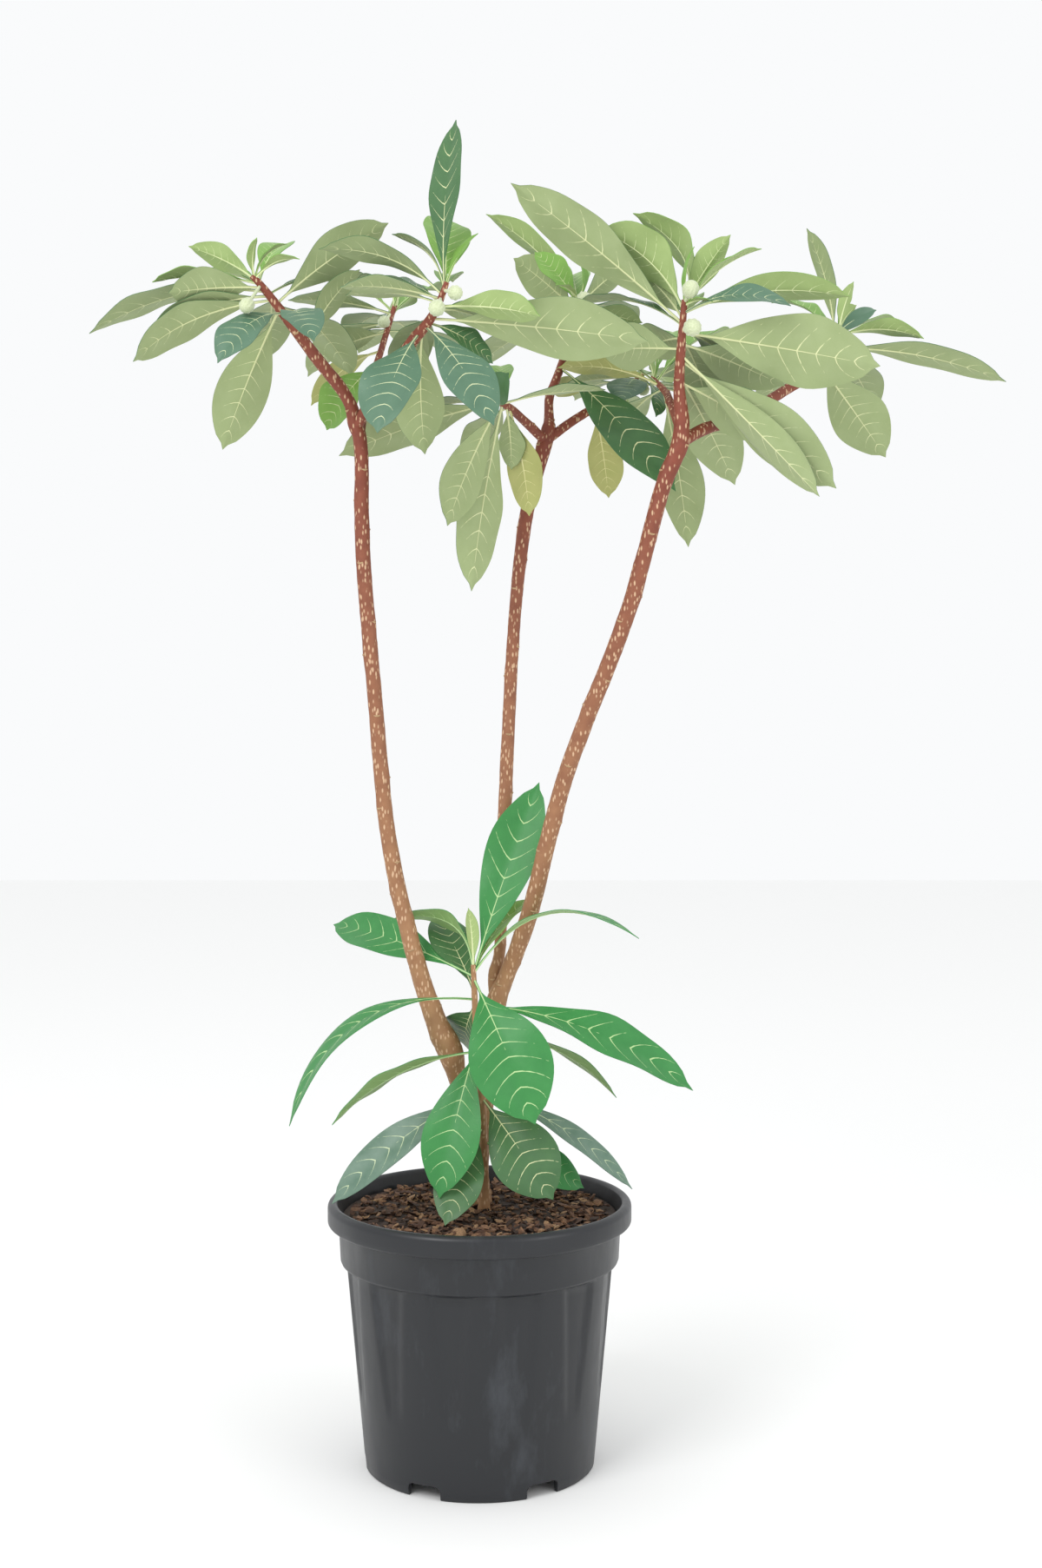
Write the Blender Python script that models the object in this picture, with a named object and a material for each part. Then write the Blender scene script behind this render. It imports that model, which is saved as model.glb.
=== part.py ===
"""Potted paperbush: three bare stems, forked boughs and whorls of long leaves in a fluted 15 litre pot.

The pot's axis is Z and its underside stands at z = 0. X runs to the right and Y away from the front
view. Lengths are metres; the plant's own sizes are given in centimetres and its girths in millimetres.
"""

import math
import random
from collections import namedtuple

import bmesh
import bpy
from mathutils import Matrix, Vector
from mathutils.bvhtree import BVHTree

CM = 0.01
MM = 0.001
UP = Vector((0.0, 0.0, 1.0))
FRONT = Vector((0.0, -1.0, 0.0))
GAP = 0.3 * MM

# The pot: a rolled rim, a plain band, and a fluted wall that narrows to a notched foot.
POT_HEIGHT = 265 * MM
RIM_RADIUS = 150.7 * MM
BAND_RADIUS = 138 * MM
LEDGE_HEIGHT = 203 * MM
WALL_TOP_RADIUS = 132 * MM
FOOT_RADIUS = 114 * MM
FLUTES = 12
FLUTE_DEPTH = 3 * MM
FLUTE_TURN = math.radians(-12)
FLUTE_BOTTOM = 65 * MM
FLUTE_FULL = 90 * MM
RECESS_HEIGHT = 13 * MM
FLOOR_HEIGHT = 17 * MM
HUB_RADIUS = 30 * MM
NOTCHES = 6
NOTCH_TURN = math.radians(33 - 90)
NOTCH_WIDTH = 35 * MM
NOTCH_CHAMFER = 5 * MM
DRAIN_RADIUS = 6 * MM
DRAIN_CIRCLE = 75 * MM

# The bark mulch that fills it, level where the stems stand.
MULCH_LEVEL = 252 * MM
MULCH_RELIEF = 3 * MM
LEVEL_RADIUS = 50 * MM
MULCH_SIDES = 24
MULCH_SEED = 5

# How finely limbs, twigs and leaves are cut.
LIMB_SIDES = 8
STALK_SIDES = 5
LIMB_STEP = 4 * CM
TWIG_STEP = 2.5 * CM
LEAF_CUTS = (0.0, 0.12, 0.34, 0.58, 0.82)
GOLDEN_ANGLE = math.radians(137.5)
LEAF_ROOM = 0.5 * MM
SHIFTS = (0, 1, -1, 2, -2, 3, -3, 4, -4)

# Each line of growth runs from its foot to a shoot's tip. Its points are how far right, back and up
# they lie (cm), with the girth there (mm). "ends" names the nodes that it is cut into and the point
# where each one ends, and what is left bears the leaves. "from" lists the lines that it grows out of.
LINES = {
    "right_upper": {
        "from": (),
        "points": (
            (-0.3, 3.5, 25.2, 30),
            (-0.2, 3.4, 28.5, 21),
            (0.2, 3.1, 33.5, 19),
            (1, 2.5, 40, 18),
            (1.5, 2, 45.3, 21),
            (2.7, 2, 48.6, 16.5),
            (5, 0, 55.1, 17),
            (8.5, -3, 68.9, 16),
            (14.1, -6, 83.9, 15.5),
            (17.3, -7.5, 95.6, 15),
            (19.1, -8, 100.6, 16),
            (18.9, -8.6, 105.5, 10.5),
            (19, -9.2, 108.7, 8.5),
            (19.3, -9.5, 113.3, 5.5),
        ),
        "ends": {"trunk": 4, "right_stem": 10, "right_upper_bough": 11},
    },
    "middle_centre": {
        "from": ("right_upper",),
        "points": (
            (1.7, 2.3, 44.8, 13),
            (1.4, 3, 48.4, 12),
            (2, 3.5, 51.4, 11.5),
            (2.4, 5, 63.5, 13.5),
            (3.4, 7, 83.4, 12.5),
            (4.7, 7.5, 94.9, 14),
            (6.7, 6.5, 102.4, 15),
            (6.9, 7.2, 104.1, 10),
            (7, 8.5, 106.6, 9),
            (7.9, 10, 109.1, 8.5),
            (9.4, 12, 113.9, 6.5),
            (10.2, 13, 117.5, 5),
        ),
        "ends": {"middle_stem": 6, "middle_centre_bough": 7},
    },
    "left_outer": {
        "from": ("right_upper",),
        "points": (
            (0, 3.2, 28.5, 15),
            (-1, 2.8, 32.5, 16),
            (-2.2, 1.8, 37.8, 17),
            (-3, 1, 41.2, 26),
            (-4.7, 1, 45, 20),
            (-6.9, 0.5, 52.5, 17),
            (-9, 0, 62.7, 15.5),
            (-10.2, -0.5, 76, 14.5),
            (-11.3, -1, 90.2, 14.5),
            (-11.4, -1.5, 100.2, 13.5),
            (-12, -1.5, 102.8, 14),
            (-12.7, -1.8, 105.2, 12),
            (-16.1, -3, 109.6, 11.5),
            (-20.3, -4.5, 115.1, 7.5),
            (-21.5, -5, 116.3, 5),
        ),
        "ends": {"left_stem": 10, "left_outer_bough": 12},
    },
    "left_inner": {
        "from": ("left_outer",),
        "points": (
            (-11.9, -1.5, 102.4, 11),
            (-9.2, -4.5, 106.3, 11),
            (-6.3, -8, 109.4, 11),
            (-4.5, -10, 111.2, 9),
            (-3.5, -11.5, 112.6, 7),
            (-2.7, -12, 114.5, 5),
        ),
        "ends": {"left_inner_bough": 2},
    },
    "left_back": {
        "from": ("left_outer", "left_inner"),
        "points": (
            (-11.5, -1.5, 101.7, 9),
            (-11.2, 3.5, 106, 8),
            (-10.1, 10, 111.7, 6.5),
            (-9, 14, 116.6, 5),
        ),
        "ends": {"left_back_bough": 1},
    },
    "middle_left": {
        "from": ("middle_centre",),
        "points": (
            (6.5, 6.5, 102, 10),
            (4.2, 2.5, 103.7, 8.5),
            (3.1, 0, 104.4, 8),
            (1.8, -4, 104.7, 6),
        ),
        "ends": {"middle_left_bough": 1},
    },
    "middle_right": {
        "from": ("middle_centre", "middle_left"),
        "points": (
            (6.9, 6.5, 102.2, 10),
            (9.4, 7.5, 104.1, 9),
            (12.1, 9, 105.9, 8.5),
            (15, 11, 107.9, 7),
            (16.6, 12, 109.2, 5),
        ),
        "ends": {"middle_right_bough": 1},
    },
    "right_outer": {
        "from": ("right_upper",),
        "points": (
            (19.2, -8, 100.4, 12),
            (21.4, -6, 101.7, 11.5),
            (25.6, -2, 103.6, 11),
            (30.5, 3, 106.7, 10),
            (32.7, 5, 108.2, 9),
            (34.7, 6.2, 110.7, 6.5),
            (36.2, 7, 113.2, 5),
        ),
        "ends": {"right_outer_bough": 4},
    },
    "right_back": {
        "from": ("right_upper", "right_outer"),
        "points": (
            (19.1, -8, 101.4, 9),
            (18.4, -3, 104.8, 7.5),
            (18.2, 1, 106.2, 7),
            (17.2, 5, 108, 5),
        ),
        "ends": {"right_back_bough": 1},
    },
    "young": {
        "from": (),
        "points": (
            (0.4, 0.5, 25.2, 13),
            (0.5, 0.2, 27.5, 9),
            (0.4, -0.3, 31, 8.5),
            (0.2, -1, 37, 8),
            (-0.2, -1, 41, 7.5),
            (-0.6, -1, 50, 5),
        ),
        "ends": {"young_stem": 2},
    },
}

# The leaves that the front view shows, lowest first on each shoot: how far below the shoot's tip the
# leaf leaves its twig, how far right, back and up it reaches (cm), its width (cm), its facing
# (degrees: 0 shows its upper side to the front, 90 its edge, 180 its underside), its arch as a share
# of its length, and its kind.
Leaf = namedtuple("Leaf", "below right back up width facing arch kind")
LEAVES = {
    "left_outer": (
        (8.2, 5, 2, 7.5, 3.4, 125, 0.08, "mature"),
        (5, 3.5, -8.5, -3.5, 4, 40, 0.15, "bloomed"),
        (4.5, -5.5, -7.5, -5.5, 4.4, 35, 0.15, "bloomed"),
        (4, -6, 3.5, -13, 5.4, 155, 0.06, "mature"),
        (3.5, 10.5, 4, 8.5, 4.8, 138, 0.06, "mature"),
        (3, -12.5, -5, -6.5, 4.4, 130, 0.14, "mature"),
        (2.5, -11, -3, -3.5, 3.6, 120, 0.08, "mature"),
        (2, -17.5, 3, -3.5, 4, 108, 0.1, "mature"),
        (1.5, -8.5, -4, -1, 4.2, 148, 0.06, "mature"),
        (1, -10.5, 2, 0.5, 3.2, 98, 0.06, "fresh"),
        (0.6, -7, 4, 4, 2.8, 145, 0.08, "fresh"),
        (0.4, 0.5, -1, 3.5, 1.4, 120, 0.1, "fresh"),
        (0.4, 3, 1, 3.5, 1.6, 80, 0.15, "fresh"),
        (0.4, 4.5, -2, 1.5, 1.6, 110, 0.15, "fresh"),
    ),
    "left_inner": (
        (6, -3.5, -7, -10, 6, 25, 0.08, "bloomed"),
        (5.5, 0, 5.5, -11, 5.2, 150, 0.05, "mature"),
        (5, 6.5, -7.5, -10, 5, 28, 0.08, "bloomed"),
        (4.5, 6, 2, -3.5, 3.4, 45, 0.1, "mature"),
        (4, 20, -3, -2.5, 6.2, 148, 0.03, "mature"),
        (4, -3.5, 7, -7.5, 4.2, 145, 0.08, "mature"),
        (3, 6.5, 7.5, 0.5, 3, 130, 0.06, "mature"),
        (2.5, 9.5, -4, -1.5, 3.4, 140, 0.08, "fresh"),
        (2, -9, 5, 1.5, 3, 100, 0.06, "mature"),
        (1.6, -9, -3, 0.5, 3.2, 112, 0.06, "mature"),
        (1.2, -11.5, 2, 4.5, 3.6, 118, 0.14, "mature"),
        (0.8, -0.5, 8, 8, 5, 20, 0.1, "fresh"),
        (0.6, 1, 3, 16, 4.2, 45, 0.04, "mature"),
        (0.6, -5, 5, 5.5, 2, 95, 0.15, "mature"),
        (0.4, 3, 1, 5, 1.6, 60, 0.08, "fresh"),
    ),
    "left_back": (
        (9.5, -5, 0, -6.5, 5.2, 30, 0.12, "fresh"),
        (9, 6, 8, -2.5, 4, 60, 0.1, "mature"),
        (7, -7.5, 4, -5, 3, 130, 0.14, "turning"),
        (4, -6, -2.5, -2.5, 3.6, 130, 0.06, "mature"),
        (3.5, -3.5, 6.5, -1.5, 2.8, 120, 0.08, "mature"),
        (2.5, -8.5, 3, -2, 3, 112, 0.05, "mature"),
        (1.2, -10.5, -2.5, 1, 3.2, 113, 0.06, "mature"),
        (0.8, 0, 8.5, 3.5, 4.2, 150, 0.05, "fresh"),
        (0.4, -1, 0, 3, 1.2, 120, 0.1, "fresh"),
        (0.3, 1.5, 1, 2.5, 1.2, 60, 0.1, "fresh"),
    ),
    "middle_left": (
        (3.6, 2, 0, -10.5, 4, 150, 0.06, "turning"),
        (2.8, 0.5, 2.5, -6, 3, 150, 0.05, "mature"),
        (1.6, -3, 0.5, -18, 5, 150, 0.03, "mature"),
        (1, -5, -2, -12, 4.6, 150, 0.06, "mature"),
        (1.6, 10, 1.5, 1.5, 3, 100, 0.04, "mature"),
        (0.8, -16, 3.5, -4.5, 5, 140, 0.05, "mature"),
        (0.5, 1, -5.5, 2, 3.2, 25, 0.15, "mature"),
    ),
    "middle_centre": (
        (11.5, 3.5, 3, 1, 2.4, 140, 0.1, "turning"),
        (8.5, 11, -12, -13.5, 5.6, 25, 0.05, "mature"),
        (6.5, 6.5, 2.5, 0, 3, 120, 0.12, "turning"),
        (2.4, 2.5, -4, -1.5, 2.8, 150, 0.1, "fresh"),
        (2, 7, 3, -0.5, 3, 130, 0.06, "mature"),
        (1.8, -6.5, 3, 6, 4.6, 150, 0.06, "mature"),
        (1.4, 6.5, 4, 6, 3.2, 140, 0.06, "mature"),
        (1.2, -9.5, 2, 10, 3.4, 125, 0.1, "fresh"),
        (1, -4.5, 4, 5.5, 3.4, 30, 0.08, "fresh"),
        (0.5, 0, -1, 3.5, 1.6, 70, 0.12, "fresh"),
        (0.5, -2.5, -2, 1, 1.4, 100, 0.1, "fresh"),
    ),
    "middle_right": (
        (7, 1.5, 2, -9, 4, 155, 0.04, "turning"),
        (4, -0.5, 4.5, -4, 2.8, 150, 0.06, "mature"),
        (2, -0.5, 3, -5, 1.6, 150, 0.06, "fresh"),
        (0.8, -2, -6, -3, 4.2, 30, 0.1, "speckled"),
        (0.6, 1.5, -3, -4.5, 2.6, 60, 0.15, "mature"),
        (0.8, -8, 0, -1, 2.6, 105, 0.08, "mature"),
        (0.5, 3, 3, 3.5, 2.6, 110, 0.1, "fresh"),
    ),
    "right_back": (
        (4, 3, 6.5, -15, 4.8, 155, 0.04, "mature"),
        (2.5, -10, 2, 2, 3.6, 118, 0.1, "turning"),
        (0.8, 6, 5.5, 2.5, 3.2, 120, 0.08, "mature"),
        (0.5, -1.5, 3.5, 4, 2.6, 110, 0.08, "fresh"),
        (0.4, 0, 1.5, 2.5, 1.4, 80, 0.08, "fresh"),
    ),
    "right_upper": (
        (7.5, 9.5, 5, -5, 5.2, 150, 0.04, "mature"),
        (7, 6.5, 10, -9, 5.4, 155, 0.05, "mature"),
        (5.5, 14.5, 1, -12, 5.6, 152, 0.04, "mature"),
        (5, 12.5, -4, -13.5, 5, 160, 0.03, "folded"),
        (4.5, -7.5, 1, 0, 5, 148, 0.05, "mature"),
        (4, 10.5, 7, -3, 4.6, 148, 0.04, "mature"),
        (3.5, -4, 6, -0.5, 4.4, 140, 0.08, "mature"),
        (3, 18, -3, -3.5, 7, 158, 0.03, "mature"),
        (2.2, -16, -2, 12.5, 5, 150, 0.04, "mature"),
        (1.8, -5, 5, 6.5, 3.2, 140, 0.08, "mature"),
        (1.2, 9.5, -4, 0, 3.2, 55, 0.14, "bloomed"),
        (1.2, 16, 3, 2, 3.8, 130, 0.12, "fresh"),
        (1, -4.5, 5, 10, 4.2, 112, 0.22, "fresh"),
        (1, -8, -1, 7.5, 5.2, 140, 0.2, "fresh"),
        (0.6, 4.5, 2, 7, 3, 155, 0.06, "fresh"),
        (0.5, 2.5, -4, 0, 1.2, 90, 0.1, "fresh"),
        (0.4, 1, 1, 5.5, 1.4, 80, 0.06, "fresh"),
    ),
    "right_outer": (
        (4.5, 7.5, 4, -9, 5.8, 160, 0.05, "mature"),
        (3.5, -3.5, 4.5, -1.5, 4, 130, 0.05, "mature"),
        (2.5, 17.5, -1.5, -3.5, 4, 118, 0.07, "mature"),
        (1, 8.5, -2, -0.5, 2.4, 128, 0.14, "fresh"),
        (1.2, -2.5, 3, 11.5, 3, 118, 0.06, "mature"),
        (0.8, 3.5, -3, 2, 2, 35, 0.1, "bloomed"),
        (0.6, 2.5, 3, 3.5, 2.2, 140, 0.06, "fresh"),
        (0.4, 1.5, 0, 5, 1.6, 150, 0.06, "fresh"),
    ),
    "young": (
        (17.8, 10, 1.5, -5, 4, 40, 0.1, "vivid"),
        (16.2, -3.5, -7.5, -8, 4.8, 20, 0.06, "mature"),
        (13.2, 7, -5, -9, 6.8, 15, 0.08, "mature"),
        (12.6, -14.5, -3, -10.5, 4, 40, 0.1, "speckled"),
        (12.6, 15, 1, -10, 2.8, 55, 0.1, "speckled"),
        (8.6, -14, -4, -6.5, 3.8, 115, 0.1, "vivid"),
        (7.8, -3.5, -5, -14, 5.8, 15, 0.06, "vivid"),
        (7, 14, 4, -7, 3, 112, 0.12, "vivid"),
        (4, -1, 5, -5, 5.2, 40, 0.08, "mature"),
        (4, 21.5, 0, -8.5, 5, 50, 0.12, "vivid"),
        (3.4, -18, -3, -12, 4.6, 75, 0.22, "vivid"),
        (2.8, -4, 7, 7, 4.6, 30, 0.05, "mature"),
        (1.4, 6, -7, -13, 8.2, 10, 0.1, "vivid"),
        (1.2, -15, 10, 3.5, 4.6, 35, 0.08, "vivid"),
        (0.8, 16, -2, 4, 3.8, 100, 0.24, "vivid"),
        (0.8, -8, 1, 5, 3.2, 120, 0.3, "vivid"),
        (0.8, 6.5, 4, 18.5, 5.6, 15, 0.04, "vivid"),
        (0.4, -0.5, 0, 6, 1.6, 150, 0.04, "fresh"),
    ),
}

# The leaves behind, which the front view hides, grow round each shoot by the golden angle: how many,
# the leaf's length near the top and at the bottom of the whorl (cm), and the seed.
BACK_LEAVES = {
    "left_outer": (5, 11, 15, 11),
    "left_inner": (4, 10, 14, 12),
    "left_back": (6, 12, 16, 13),
    "middle_left": (3, 9, 13, 14),
    "middle_centre": (6, 12, 17, 15),
    "middle_right": (5, 10, 14, 16),
    "right_back": (6, 11, 15, 17),
    "right_upper": (5, 11, 15, 18),
    "right_outer": (6, 11, 15, 19),
    "young": (6, 12, 17, 20),
}
BACK_SPREAD = math.radians(60)
BACK_TRIES = 60

# Flower buds: how far below the shoot's tip the stalk leaves, its reach right, back and up (cm),
# and the bud's width (mm).
BUDS = {
    "left_outer": ((1.2, -1, -2.5, -2.3, 15),),
    "left_inner": ((1.5, -0.3, -2.2, -1.3, 16), (0.8, 1.1, -1.7, -0.5, 14)),
    "left_back": ((1, -0.8, -1.6, -1.2, 13),),
    "middle_centre": ((0.8, 0.5, -1.7, 0.1, 16),),
    "middle_right": ((0.6, 0.4, -1.6, -1.3, 13),),
    "right_upper": ((0.3, 0.5, -1.1, 1.1, 16), (2.8, 0.8, -1.8, 0, 17)),
}
BUD_STRETCH = 1.15
STALK_RADIUS = 1.5 * MM


def material(name, colour, roughness):
    """A plain finish with the photograph's colour."""
    made = bpy.data.materials.new(name)
    made.use_nodes = True
    shader = made.node_tree.nodes["Principled BSDF"]
    shader.inputs["Base Color"].default_value = (*colour, 1.0)
    shader.inputs["Roughness"].default_value = roughness
    made.diffuse_color = (*colour, 1.0)
    return made


def add_object(name, bm, finish, plant):
    """Turn a bmesh into a named object under the plant's empty."""
    bmesh.ops.recalc_face_normals(bm, faces=bm.faces)
    mesh = bpy.data.meshes.new(name)
    bm.to_mesh(mesh)
    bm.free()
    mesh.materials.append(finish)
    body = bpy.data.objects.new(name, mesh)
    body.parent = plant
    bpy.context.scene.collection.objects.link(body)
    return body


def remove_object(body):
    mesh = body.data
    bpy.data.objects.remove(body, do_unlink=True)
    bpy.data.meshes.remove(mesh)


def apply_modifiers(body):
    """Keep the evaluated mesh in place of the modifiers."""
    bpy.context.view_layer.update()
    evaluated = body.evaluated_get(bpy.context.evaluated_depsgraph_get())
    mesh = bpy.data.meshes.new_from_object(evaluated)
    body.modifiers.clear()
    body.data = mesh


def boolean(body, operation, solver, others):
    """One Boolean on a collection of closed pieces, which is then removed with them."""
    group = bpy.data.collections.new(body.name + "_pieces")
    bpy.context.scene.collection.children.link(group)
    for piece in others:
        bpy.context.scene.collection.objects.unlink(piece)
        group.objects.link(piece)
    step = body.modifiers.new(operation.lower(), "BOOLEAN")
    step.operation = operation
    step.operand_type = "COLLECTION"
    step.collection = group
    step.solver = solver
    apply_modifiers(body)
    for piece in others:
        remove_object(piece)
    bpy.data.collections.remove(group)


def islands(bm):
    """The separate bodies of a mesh, as lists of faces."""
    left = set(bm.faces)
    found = []
    while left:
        body = [left.pop()]
        for face in body:
            for edge in face.edges:
                for other in edge.link_faces:
                    if other in left:
                        left.remove(other)
                        body.append(other)
        found.append(body)
    return found


def keep_main_body(body):
    """Drop loose scraps, and fill a hollow that fusing has sealed, by keeping the largest skin."""
    bm = bmesh.new()
    bm.from_mesh(body.data)
    found = sorted(islands(bm), key=lambda faces: sum(face.calc_area() for face in faces))
    scraps = [face for faces in found[:-1] for face in faces]
    if scraps:
        bmesh.ops.delete(bm, geom=scraps, context="FACES")
    bm.to_mesh(body.data)
    bm.free()


def loft(bm, rings, tip=None):
    """Skin a row of rings into a closed body, with flat ends or a pointed tip."""
    rows = [[bm.verts.new(point) for point in ring] for ring in rings]
    count = len(rows[0])
    bm.faces.new(rows[0])
    for near, far in zip(rows, rows[1:]):
        for k in range(count):
            following = (k + 1) % count
            bm.faces.new((near[k], near[following], far[following], far[k]))
    last = rows[-1]
    if tip is None:
        bm.faces.new(last)
        return
    point = bm.verts.new(tip)
    for k in range(count):
        bm.faces.new((last[k], last[(k + 1) % count], point))


# Lines of growth

Station = namedtuple("Station", "centre along side radius")


def smooth_points(knots, step):
    """Points of a smooth curve through the knots, and where in them each knot lies."""
    ends = [2 * knots[0] - knots[1], *knots, 2 * knots[-1] - knots[-2]]
    points = [knots[0]]
    places = [0]
    for before, start, end, after in zip(ends, ends[1:], ends[2:], ends[3:]):
        pieces = max(1, round((end - start).xyz.length / step))
        for k in range(1, pieces + 1):
            t = k / pieces
            drift = (end - before) * t
            bend = (2 * before - 5 * start + 4 * end - after) * t ** 2
            turn = (3 * start - before - 3 * end + after) * t ** 3
            points.append(start + (drift + bend + turn) / 2)
        places.append(len(points) - 1)
    return points, places


def stations_of(line, step):
    """Centre, direction, side and radius along a line of growth."""
    knots = [Vector((x * CM, y * CM, z * CM, girth * MM / 2)) for x, y, z, girth in line["points"]]
    points, places = smooth_points(knots, step)
    side = Vector((1.0, 0.0, 0.0))
    found = []
    for k, point in enumerate(points):
        before = points[max(0, k - 1)].xyz
        after = points[min(len(points) - 1, k + 1)].xyz
        along = (after - before).normalized()
        if k == 0 and not line["from"]:
            along = UP.copy()
        side = (side - along * side.dot(along)).normalized()
        found.append(Station(point.xyz, along, side, point.w))
    return found, places


def ring(station, sides, extra=0.0):
    """A ring of points round a station."""
    across = station.along.cross(station.side)
    radius = station.radius + extra
    points = []
    for k in range(sides):
        angle = 2 * math.pi * k / sides
        points.append(station.centre + station.side * radius * math.cos(angle) + across * radius * math.sin(angle))
    return points


def moved_on(station, distance):
    return station._replace(centre=station.centre + station.along * distance)


def tube(stations, sides, extra=0.0):
    bm = bmesh.new()
    loft(bm, [ring(station, sides, extra) for station in stations])
    return bm


def point_below(stations, below):
    """The point of a twig's axis that lies so far below its tip."""
    for upper, lower in zip(stations[::-1], stations[-2::-1]):
        length = (upper.centre - lower.centre).length
        if below <= length:
            return upper.centre.lerp(lower.centre, below / length)
        below -= length
    return stations[0].centre


# Leaves and buds

# What a leaf must keep clear of: whose it is, its blade, all of it, and whether it is a limb or bud.
Taken = namedtuple("Taken", "owner blade whole firm")


def leaf_axes(reach, facing):
    """The directions along, across and out of the upper side of a leaf."""
    along = reach.normalized()
    if facing is None:
        upper = (UP - along * along.z).normalized()
        return along, along.cross(upper), upper
    shown = (FRONT - along * FRONT.dot(along)).normalized()
    lifted = along.cross(shown)
    if lifted.z < 0:
        lifted.negate()
    angle = math.radians(facing)
    upper = shown * math.cos(angle) + lifted * math.sin(angle)
    return along, along.cross(upper), upper


def leaf_rings(foot, leaf, extra=0.0):
    """Four-sided rings of a leaf, from the foot in its twig to the last one before its tip."""
    reach = Vector((leaf.right, leaf.back, leaf.up)) * CM
    length = reach.length
    along, across, upper = leaf_axes(reach, leaf.facing)
    thickness = max(1.1 * MM, 0.013 * length) + 2 * extra
    stalk = min(1.6 * MM, 0.06 * length) + extra
    fold = math.radians({"folded": 50, "fresh": 22}.get(leaf.kind, 12))
    rings = []
    for share in LEAF_CUTS:
        centre = foot + reach * share + upper * length * leaf.arch * 4 * share * (1 - share)
        tangent = along + upper * leaf.arch * 4 * (1 - 2 * share)
        rise = (upper - along * leaf.arch * 4 * (1 - 2 * share)).normalized()
        blade = max(0.0, (share - LEAF_CUTS[1]) / (1 - LEAF_CUTS[1]))
        half = max(stalk, leaf.width * CM / 2 * math.sin(math.pi * blade ** 1.25) ** 0.85)
        edge = across * half * math.cos(fold)
        lift = rise * half * math.sin(fold)
        middle = rise * thickness / 2
        rings.append((centre - edge + lift, centre + middle, centre + edge + lift, centre - middle))
    return rings


def leaf_tip(foot, leaf):
    return foot + Vector((leaf.right, leaf.back, leaf.up)) * CM


def tree_of(bm):
    tree = BVHTree.FromBMesh(bm)
    bm.free()
    return tree


def leaf_trees(foot, leaf):
    """Search trees of the leaf's faces, with room to spare: beyond its stalk, and in all."""
    rings = leaf_rings(foot, leaf, LEAF_ROOM)
    trees = []
    for first in (1, 0):
        bm = bmesh.new()
        loft(bm, rings[first:], leaf_tip(foot, leaf))
        trees.append(tree_of(bm))
    return trees


def settled(name, foot, leaf, taken, may_cross):
    """The leaf, shifted back or forth by whole centimetres until it touches nothing, or None.

    Within its own mass only the blade has to be clear, as the stalks crowd together at the twig. A
    leaf that the front view shows may cross a leaf of its own mass if there is no other room.
    """
    for crossing in (False, True)[:1 + may_cross]:
        for shift in SHIFTS:
            tried = leaf._replace(back=leaf.back + shift)
            blade, whole = leaf_trees(foot, tried)
            if not any(touches(name, blade, whole, other, crossing) for other in taken):
                taken.append(Taken(name, blade, whole, False))
                return tried
    return None


def touches(name, blade, whole, other, crossing):
    """Whether a leaf would touch a limb, a bud or another leaf."""
    if other.owner != name:
        return bool(whole.overlap(other.whole))
    if crossing and not other.firm:
        return False
    return bool(blade.overlap(other.blade))


def back_leaves(name, stations, taken):
    """The leaves that a shoot's hidden side bears, turned by the golden angle and spread by a seed."""
    count, top_length, bottom_length, seed = BACK_LEAVES[name]
    chance = random.Random(seed)
    heading = chance.uniform(0, 2 * math.pi)
    grown = []
    for attempt in range(BACK_TRIES):
        if len(grown) == count:
            break
        heading = (heading + GOLDEN_ANGLE) % (2 * math.pi)
        share = (len(grown) + 0.5) / count
        length = top_length + (bottom_length - top_length) * share
        length *= chance.uniform(0.85, 1.1)
        rise = math.radians(35 - 60 * share + chance.uniform(-12, 12))
        if abs(heading - math.pi / 2) > BACK_SPREAD:
            continue
        flat = length * math.cos(rise)
        leaf = Leaf(
            below=0.6 + 3.4 * share,
            right=flat * math.cos(heading),
            back=flat * math.sin(heading),
            up=length * math.sin(rise),
            width=0.32 * length,
            facing=None,
            arch=0.1,
            kind="mature" if share > 0.3 else "fresh",
        )
        foot = point_below(stations, leaf.below * CM)
        placed = settled(name, foot, leaf, taken, False)
        if placed:
            grown.append((foot, placed))
    return grown


def leaf_object(name, foot, leaf, finish, plant):
    bm = bmesh.new()
    loft(bm, leaf_rings(foot, leaf), leaf_tip(foot, leaf))
    return add_object(name, bm, finish, plant)


def bud_parts(foot, bud):
    """A silky round bud and the short stalk that it nods on."""
    _, right, back, up, width = bud
    reach = Vector((right, back, up)) * CM
    place = Matrix.Translation(foot + reach) @ Matrix.Diagonal((1, 1, BUD_STRETCH, 1))
    ball = bmesh.new()
    bmesh.ops.create_icosphere(ball, subdivisions=2, radius=width * MM / 2, matrix=place)
    along = reach.normalized()
    side = along.orthogonal().normalized()
    ends = [Station(foot + reach * share, along, side, STALK_RADIUS) for share in (0, 1)]
    return ball, tube(ends, STALK_SIDES)


# Pot and mulch

def inner_profile():
    """The pot's inside from the middle of its floor to the lip, as radius and height."""
    return [
        (0.0, FLOOR_HEIGHT - RECESS_HEIGHT),
        (HUB_RADIUS - 3 * MM, FLOOR_HEIGHT - RECESS_HEIGHT),
        (HUB_RADIUS + 3 * MM, FLOOR_HEIGHT),
        (FOOT_RADIUS - 1.5 * MM, FLOOR_HEIGHT),
        (WALL_TOP_RADIUS - 5.8 * MM, LEDGE_HEIGHT - 3 * MM),
        (BAND_RADIUS - 2.5 * MM, LEDGE_HEIGHT + 5 * MM),
        (BAND_RADIUS - 1.5 * MM, MULCH_LEVEL - 2 * MM),
    ]


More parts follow.
